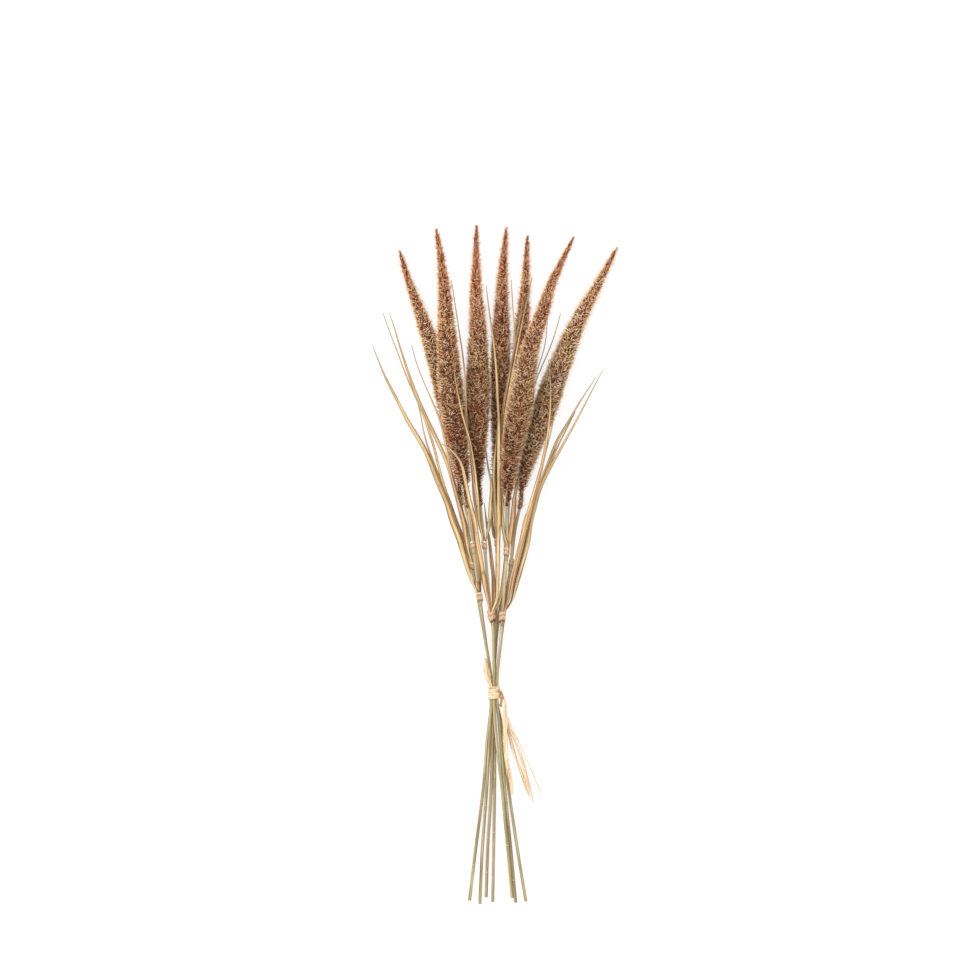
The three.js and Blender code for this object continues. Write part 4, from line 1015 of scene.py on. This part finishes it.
class Look:
    """A material made of nodes. Most calls add a node and return its output. The look of strands
    knows the patterns of their skin."""

    def __init__(self, name, strands=True):
        self.material = bpy.data.materials.new(name)
        self.material.use_nodes = True
        self.tree = self.material.node_tree
        self.tree.nodes.clear()
        if strands:
            self.across, self.metres = self.layer("Pattern")
            self.tone, self.along = self.layer("Tone")

    def add(self, kind, inputs=(), output=0, **settings):
        node = self.tree.nodes.new("ShaderNode" + kind)
        for key, value in settings.items():
            setattr(node, key, value)
        for key, value in dict(inputs).items():
            if isinstance(value, bpy.types.NodeSocket):
                self.tree.links.new(value, node.inputs[key])
            else:
                node.inputs[key].default_value = value
        return node.outputs[output]

    def layer(self, name):
        """The two parts of one of a piece's patterns."""
        parts = self.add("SeparateXYZ", {0: self.add("UVMap", uv_map=name)}).node
        return parts.outputs[0], parts.outputs[1]

    def place(self):
        return self.add("TexCoord", output=3)

    def up_the_bunch(self):
        return self.add("SeparateXYZ", {0: self.place()}, output=1)

    def maths(self, operation, a, b=0):
        return self.add("Math", {0: a, 1: b}, operation=operation)

    def plus(self, a, b):
        return self.maths("ADD", a, b)

    def times(self, a, b):
        return self.maths("MULTIPLY", a, b)

    def fit(self, value, low, high, start=0, end=1):
        """Value from low to high, brought to start to end and held there."""
        return self.add("MapRange", {0: value, 1: low, 2: high, 3: start, 4: end}, clamp=True)

    def point(self, x, y, z=0):
        return self.add("CombineXYZ", {0: x, 1: y, 2: z})

    def noise(self, vector, scale, detail=3):
        return self.add("TexNoise", {"Vector": vector, "Scale": scale, "Detail": detail,
                                     "Roughness": 0.6})

    def streaks(self, wide, long, shift=0):
        """Noise drawn out along a strand: wide is per width and long is per metre."""
        vector = self.point(self.times(self.across, wide), self.times(self.metres, long),
                            self.times(self.plus(self.tone, shift), 37))
        return self.noise(vector, 1, 4)

    def mix(self, share, a, b, blend="MIX"):
        return self.add("Mix", {0: share, 6: a, 7: b}, output=2, data_type="RGBA",
                        blend_type=blend)

    def tint(self, colour, *rows):
        """Each row turns the colour to a hue, from not at all where a value is low to a share
        where it is high."""
        for value, low, high, share, hue in rows:
            colour = self.mix(self.fit(value, low, high, 0, share), colour, rgb(hue))
        return colour

    def ramp(self, value, *stops):
        made = self.add("ValToRGB", {0: value})
        band = made.node.color_ramp
        while len(band.elements) < len(stops):
            band.elements.new(0.5)
        for element, (place, colour) in zip(band.elements, stops):
            element.position = place
            element.color = rgb(colour)
        return made

    def finish(self, colour, roughness, height, distance, specular=0.4, glow=0):
        """The finished material, with bumps of this height pattern and distance."""
        bump = self.add("Bump", {"Strength": 0.6, "Distance": distance, "Height": height})
        shader = self.add("BsdfPrincipled", {"Base Color": colour, "Roughness": roughness,
                                             "Specular IOR Level": specular, "Normal": bump,
                                             "Emission Strength": glow})
        output = self.tree.nodes.new("ShaderNodeOutputMaterial")
        self.tree.links.new(shader, output.inputs["Surface"])
        return self.material


def spike_colour(look, *stops):
    """Colours by tone, in patches, golden in the lower half and paler and pinker at the tips."""
    place, up = look.place(), look.up_the_bunch()
    patches = look.fit(look.noise(place, 70), 0.3, 0.7, -0.16, 0.16)
    shifted = look.plus(look.plus(look.tone, patches), look.fit(up, 0.2, 0.33, 0, 0.2))
    colour = look.ramp(shifted, *stops)
    gold = look.times(look.fit(look.noise(place, 55, 2), 0.46, 0.62, 0, 0.4),
                      look.fit(up, 0.34, 0.22))
    colour = look.mix(gold, colour, rgb("FFF0B8"), "MULTIPLY")
    foot = look.mix(look.fit(look.tone, 0.4, 1, 1, 0.35), colour, rgb("BE8C6C"), "MULTIPLY")
    colour = look.mix(look.fit(up, 0.1, 0.24), foot, colour)
    return look.mix(look.fit(up, 0.2, 0.32), colour, rgb("FFDDD6"), "MULTIPLY")


def bristle_look():
    look = Look("bristle")
    # the palest tones, and the pale end of each bristle below, are partly the bristles' own colour and
    # partly painted highlights
    colour = spike_colour(look, (0, "4E2016"), (0.24, "985A3C"), (0.48, "E8AA7E"),
                          (0.7, "FFE4B0"), (1, "FFF6D8"))
    # darker towards the foot: painted shade deep among the bristles
    colour = look.tint(colour, (look.along, 0.5, 0, 1, "4A2614"), (look.along, 0.65, 1, 0.35, "FFE8C0"))
    height = look.noise(look.point(look.tone, look.times(look.metres, 900)), 3)
    return look.finish(colour, 0.6, height, 0.05 * MM, 0.2)


def floret_look():
    look = Look("floret")
    # dark browns and a darker foot: partly the florets' own colour, partly painted shade deep in the spike
    colour = spike_colour(look, (0, "522A1C"), (0.4, "8A4E34"), (0.75, "C4764E"), (1, "ECBA80"))
    colour = look.tint(colour, (look.along, 0.6, 0, 1, "4A2816"))
    height = look.noise(look.point(look.tone, look.times(look.metres, 1500)), 4)
    return look.finish(colour, 0.65, height, 0.08 * MM, 0.2)


def core_look():
    look = Look("spike_core", strands=False)
    grain = look.noise(look.place(), 900, 4)
    # dark browns: partly the core's own colour, partly painted shade deep in the spike where the core
    # shows between florets and bristles
    colour = look.ramp(grain, (0.3, "361C10"), (0.6, "5E3822"), (0.8, "805234"))
    return look.finish(colour, 0.8, grain, 0.4 * MM, 0.2)


def stem_look():
    """Streaked from olive to brown, with a pale line at the joint and a pale cut, and paler from the tie
    up: painted light against the shade that the leaves cast on the stems.
    """
    look = Look("stem")
    tone, joint = look.tone, look.along
    fine, broad, patch = look.streaks(11, 22), look.streaks(3, 9), look.streaks(1, 16, 2)
    colour = look.ramp(fine, (0.34, "564A2E"), (0.5, "948660"), (0.64, "C6BA94"))
    colour = look.tint(
        colour,
        (tone, 0.4, 1, 0.75, "988070"),
        (tone, 0.4, 0, 0.35, "B0A666"),
        (broad, 0.5, 0.7, 0.6, "8A6E50"),
        (broad, 0.5, 0.3, 0.6, "A89C60"),
        (patch, 0.55, 0.68, 0.5, "D2C8A8"),
        # paler from the tie up: painted light against the leaves' shadow on the stems
        (look.up_the_bunch(), -0.12, 0, 0.4, "C4AE8E"),
        (joint, 0.35, 0.8, 0.3, "7A6442"),
        (joint, 0.93, 1, 0.8, "EADFC0"),
        (look.metres, 0, -0.2 * MM, 1, "E8B08C"),
    )
    return look.finish(colour, 0.55, fine, 0.15 * MM)


def leaf_look():
    """Streaked tan or brown by tone, with a pale midrib that is partly a painted highlight on the blade's
    ridge, and darker edges, spots and tip.
    """
    look = Look("leaf")
    fine, broad, patch = look.streaks(14, 16), look.streaks(4.5, 20), look.streaks(1.6, 26, 2)
    colour = look.ramp(look.tone, (0, "91855B"), (0.25, "B29663"), (0.5, "C29D6A"), (0.75, "C19468"),
                       (1, "8E5426"))
    colour = look.tint(
        colour,
        (broad, 0.5, 0.62, 0.8, "ECD6A4"),
        (broad, 0.47, 0.36, 0.8, "77512E"),
        (fine, 0.5, 0.3, 0.5, "6F4C2B"),
        (patch, 0.56, 0.7, 0.6, "7E7144"),
        (patch, 0.44, 0.3, 0.6, "BF774F"),
    )
    off = look.maths("ABSOLUTE", look.plus(look.across, -0.5))
    # pale middle of the blade: partly its midrib, partly a painted highlight along the ridge of its fold,
    # less on the darkest tones
    midrib_and_highlight = look.times(look.fit(off, 0.25, 0.05, 0, 0.34), look.fit(look.tone, 1, 0.7))
    colour = look.mix(midrib_and_highlight, colour, rgb("FADCA4"))
    spots = look.noise(look.point(look.times(look.across, 2), look.times(look.metres, 60),
                                  look.times(look.tone, 91)), 1, 2)
    colour = look.tint(
        colour,
        (off, 0.28, 0.48, 0.85, "6A4628"),
        (spots, 0.62, 0.7, 0.7, "5B5838"),
        (look.along, 0.75, 1, 0.75, "84704E"),
    )
    return look.finish(colour, 0.55, fine, 0.12 * MM)


def collar_look():
    """Thin upper ring, paler the higher the tone, pinkish tan below it, dark lower edge."""
    look = Look("collar")
    fine, broad = look.streaks(30, 150), look.streaks(7, 300)
    colour = look.ramp(look.along, (0, "D0B290"), (0.2, "CCAA86"), (0.27, "8E6C4E"), (0.42, "CEAC8C"),
                       (0.7, "C29E7C"), (0.94, "5E4630"))
    ring = look.times(look.tone, look.fit(look.along, 0.24, 0.18))
    colour = look.mix(ring, colour, rgb("FBEACA"))
    colour = look.tint(colour, (fine, 0.5, 0.3, 0.6, "966946"), (broad, 0.53, 0.68, 0.7, "73573E"))
    return look.finish(colour, 0.65, fine, 0.3 * MM)


def raffia_look():
    look = Look("raffia")
    fine, broad = look.streaks(5, 40), look.streaks(2, 45)
    colour = look.ramp(fine, (0.34, "AA8262"), (0.46, "D8BC98"), (0.62, "EADCBE"))
    colour = look.tint(colour, (broad, 0.52, 0.66, 0.6, "D0986C"),
                       (look.tone, 0.72, 1, 0.85, "A06438"))
    return look.finish(colour, 0.6, fine, 0.18 * MM)


def floor_look():
    look = Look("floor", strands=False)
    grain = look.noise(look.place(), 25, 2)
    colour = look.ramp(grain, (0.3, "7C7C7B"), (0.7, "80807F"))
    return look.finish(colour, 0.9, grain, 0.1 * MM, 0.1, FLOOR_GLOW)


# ---- camera, light and floor
FRAME_SIZE = 960  # of the view at the floor, on the layout grid
LENS = 400
SENSOR = 36
FLOOR_SIZE = 9
FLOOR_GLOW = 0.82  # the floor is a pale light table
WORLD_COLOUR = (1, 0.99, 0.975, 1)
WORLD_STRENGTH = 0.85
# strength, width in radians and direction
SUNS = {"key": (2.3, 0.9, (0.6, -0.35, -1)), "fill": (0.35, 1.2, (-0.6, 0.5, -1))}


def set_camera():
    data = bpy.data.cameras.new("camera")
    data.lens = LENS
    data.sensor_width = SENSOR
    camera = put("camera", data)
    x, y, _ = plan(FRAME_SIZE / 2, FRAME_SIZE / 2, 0)
    camera.location = (x, y, FRAME_SIZE * GRID * LENS / SENSOR)
    bpy.context.scene.camera = camera


def set_light():
    world = bpy.data.worlds.new("studio")
    world.use_nodes = True
    sky = world.node_tree.nodes["Background"].inputs
    sky["Color"].default_value = WORLD_COLOUR
    sky["Strength"].default_value = WORLD_STRENGTH
    bpy.context.scene.world = world
    for name, (strength, width, direction) in SUNS.items():
        data = bpy.data.lights.new(name, "SUN")
        data.energy = strength
        data.angle = width
        put(name, data).rotation_euler = Vector(direction).to_track_quat("-Z", "Y").to_euler()
    bpy.context.scene.view_settings.view_transform = "Standard"


def lay_floor():
    half = FLOOR_SIZE / 2
    mesh = bpy.data.meshes.new("floor")
    corners = [(-half, -half, 0), (half, -half, 0), (half, half, 0), (-half, half, 0)]
    mesh.from_pydata(corners, [], [(0, 1, 2, 3)])
    mesh.materials.append(floor_look())
    floor = put("floor", mesh)


# ---- the scene
def main():
    set_camera()
    set_light()
    lay_floor()
    looks = {
        "core": core_look(), "floret": floret_look(), "bristle": bristle_look(),
        "stem": stem_look(), "leaf": leaf_look(), "collar": collar_look(), "raffia": raffia_look(),
    }
    for plant in BUNCH:
        stem(plant, looks)
        spike(plant, looks)
    for number, leaf in enumerate(LEAVES):
        leaf_piece(number, leaf, looks)
    tie(looks)


main()
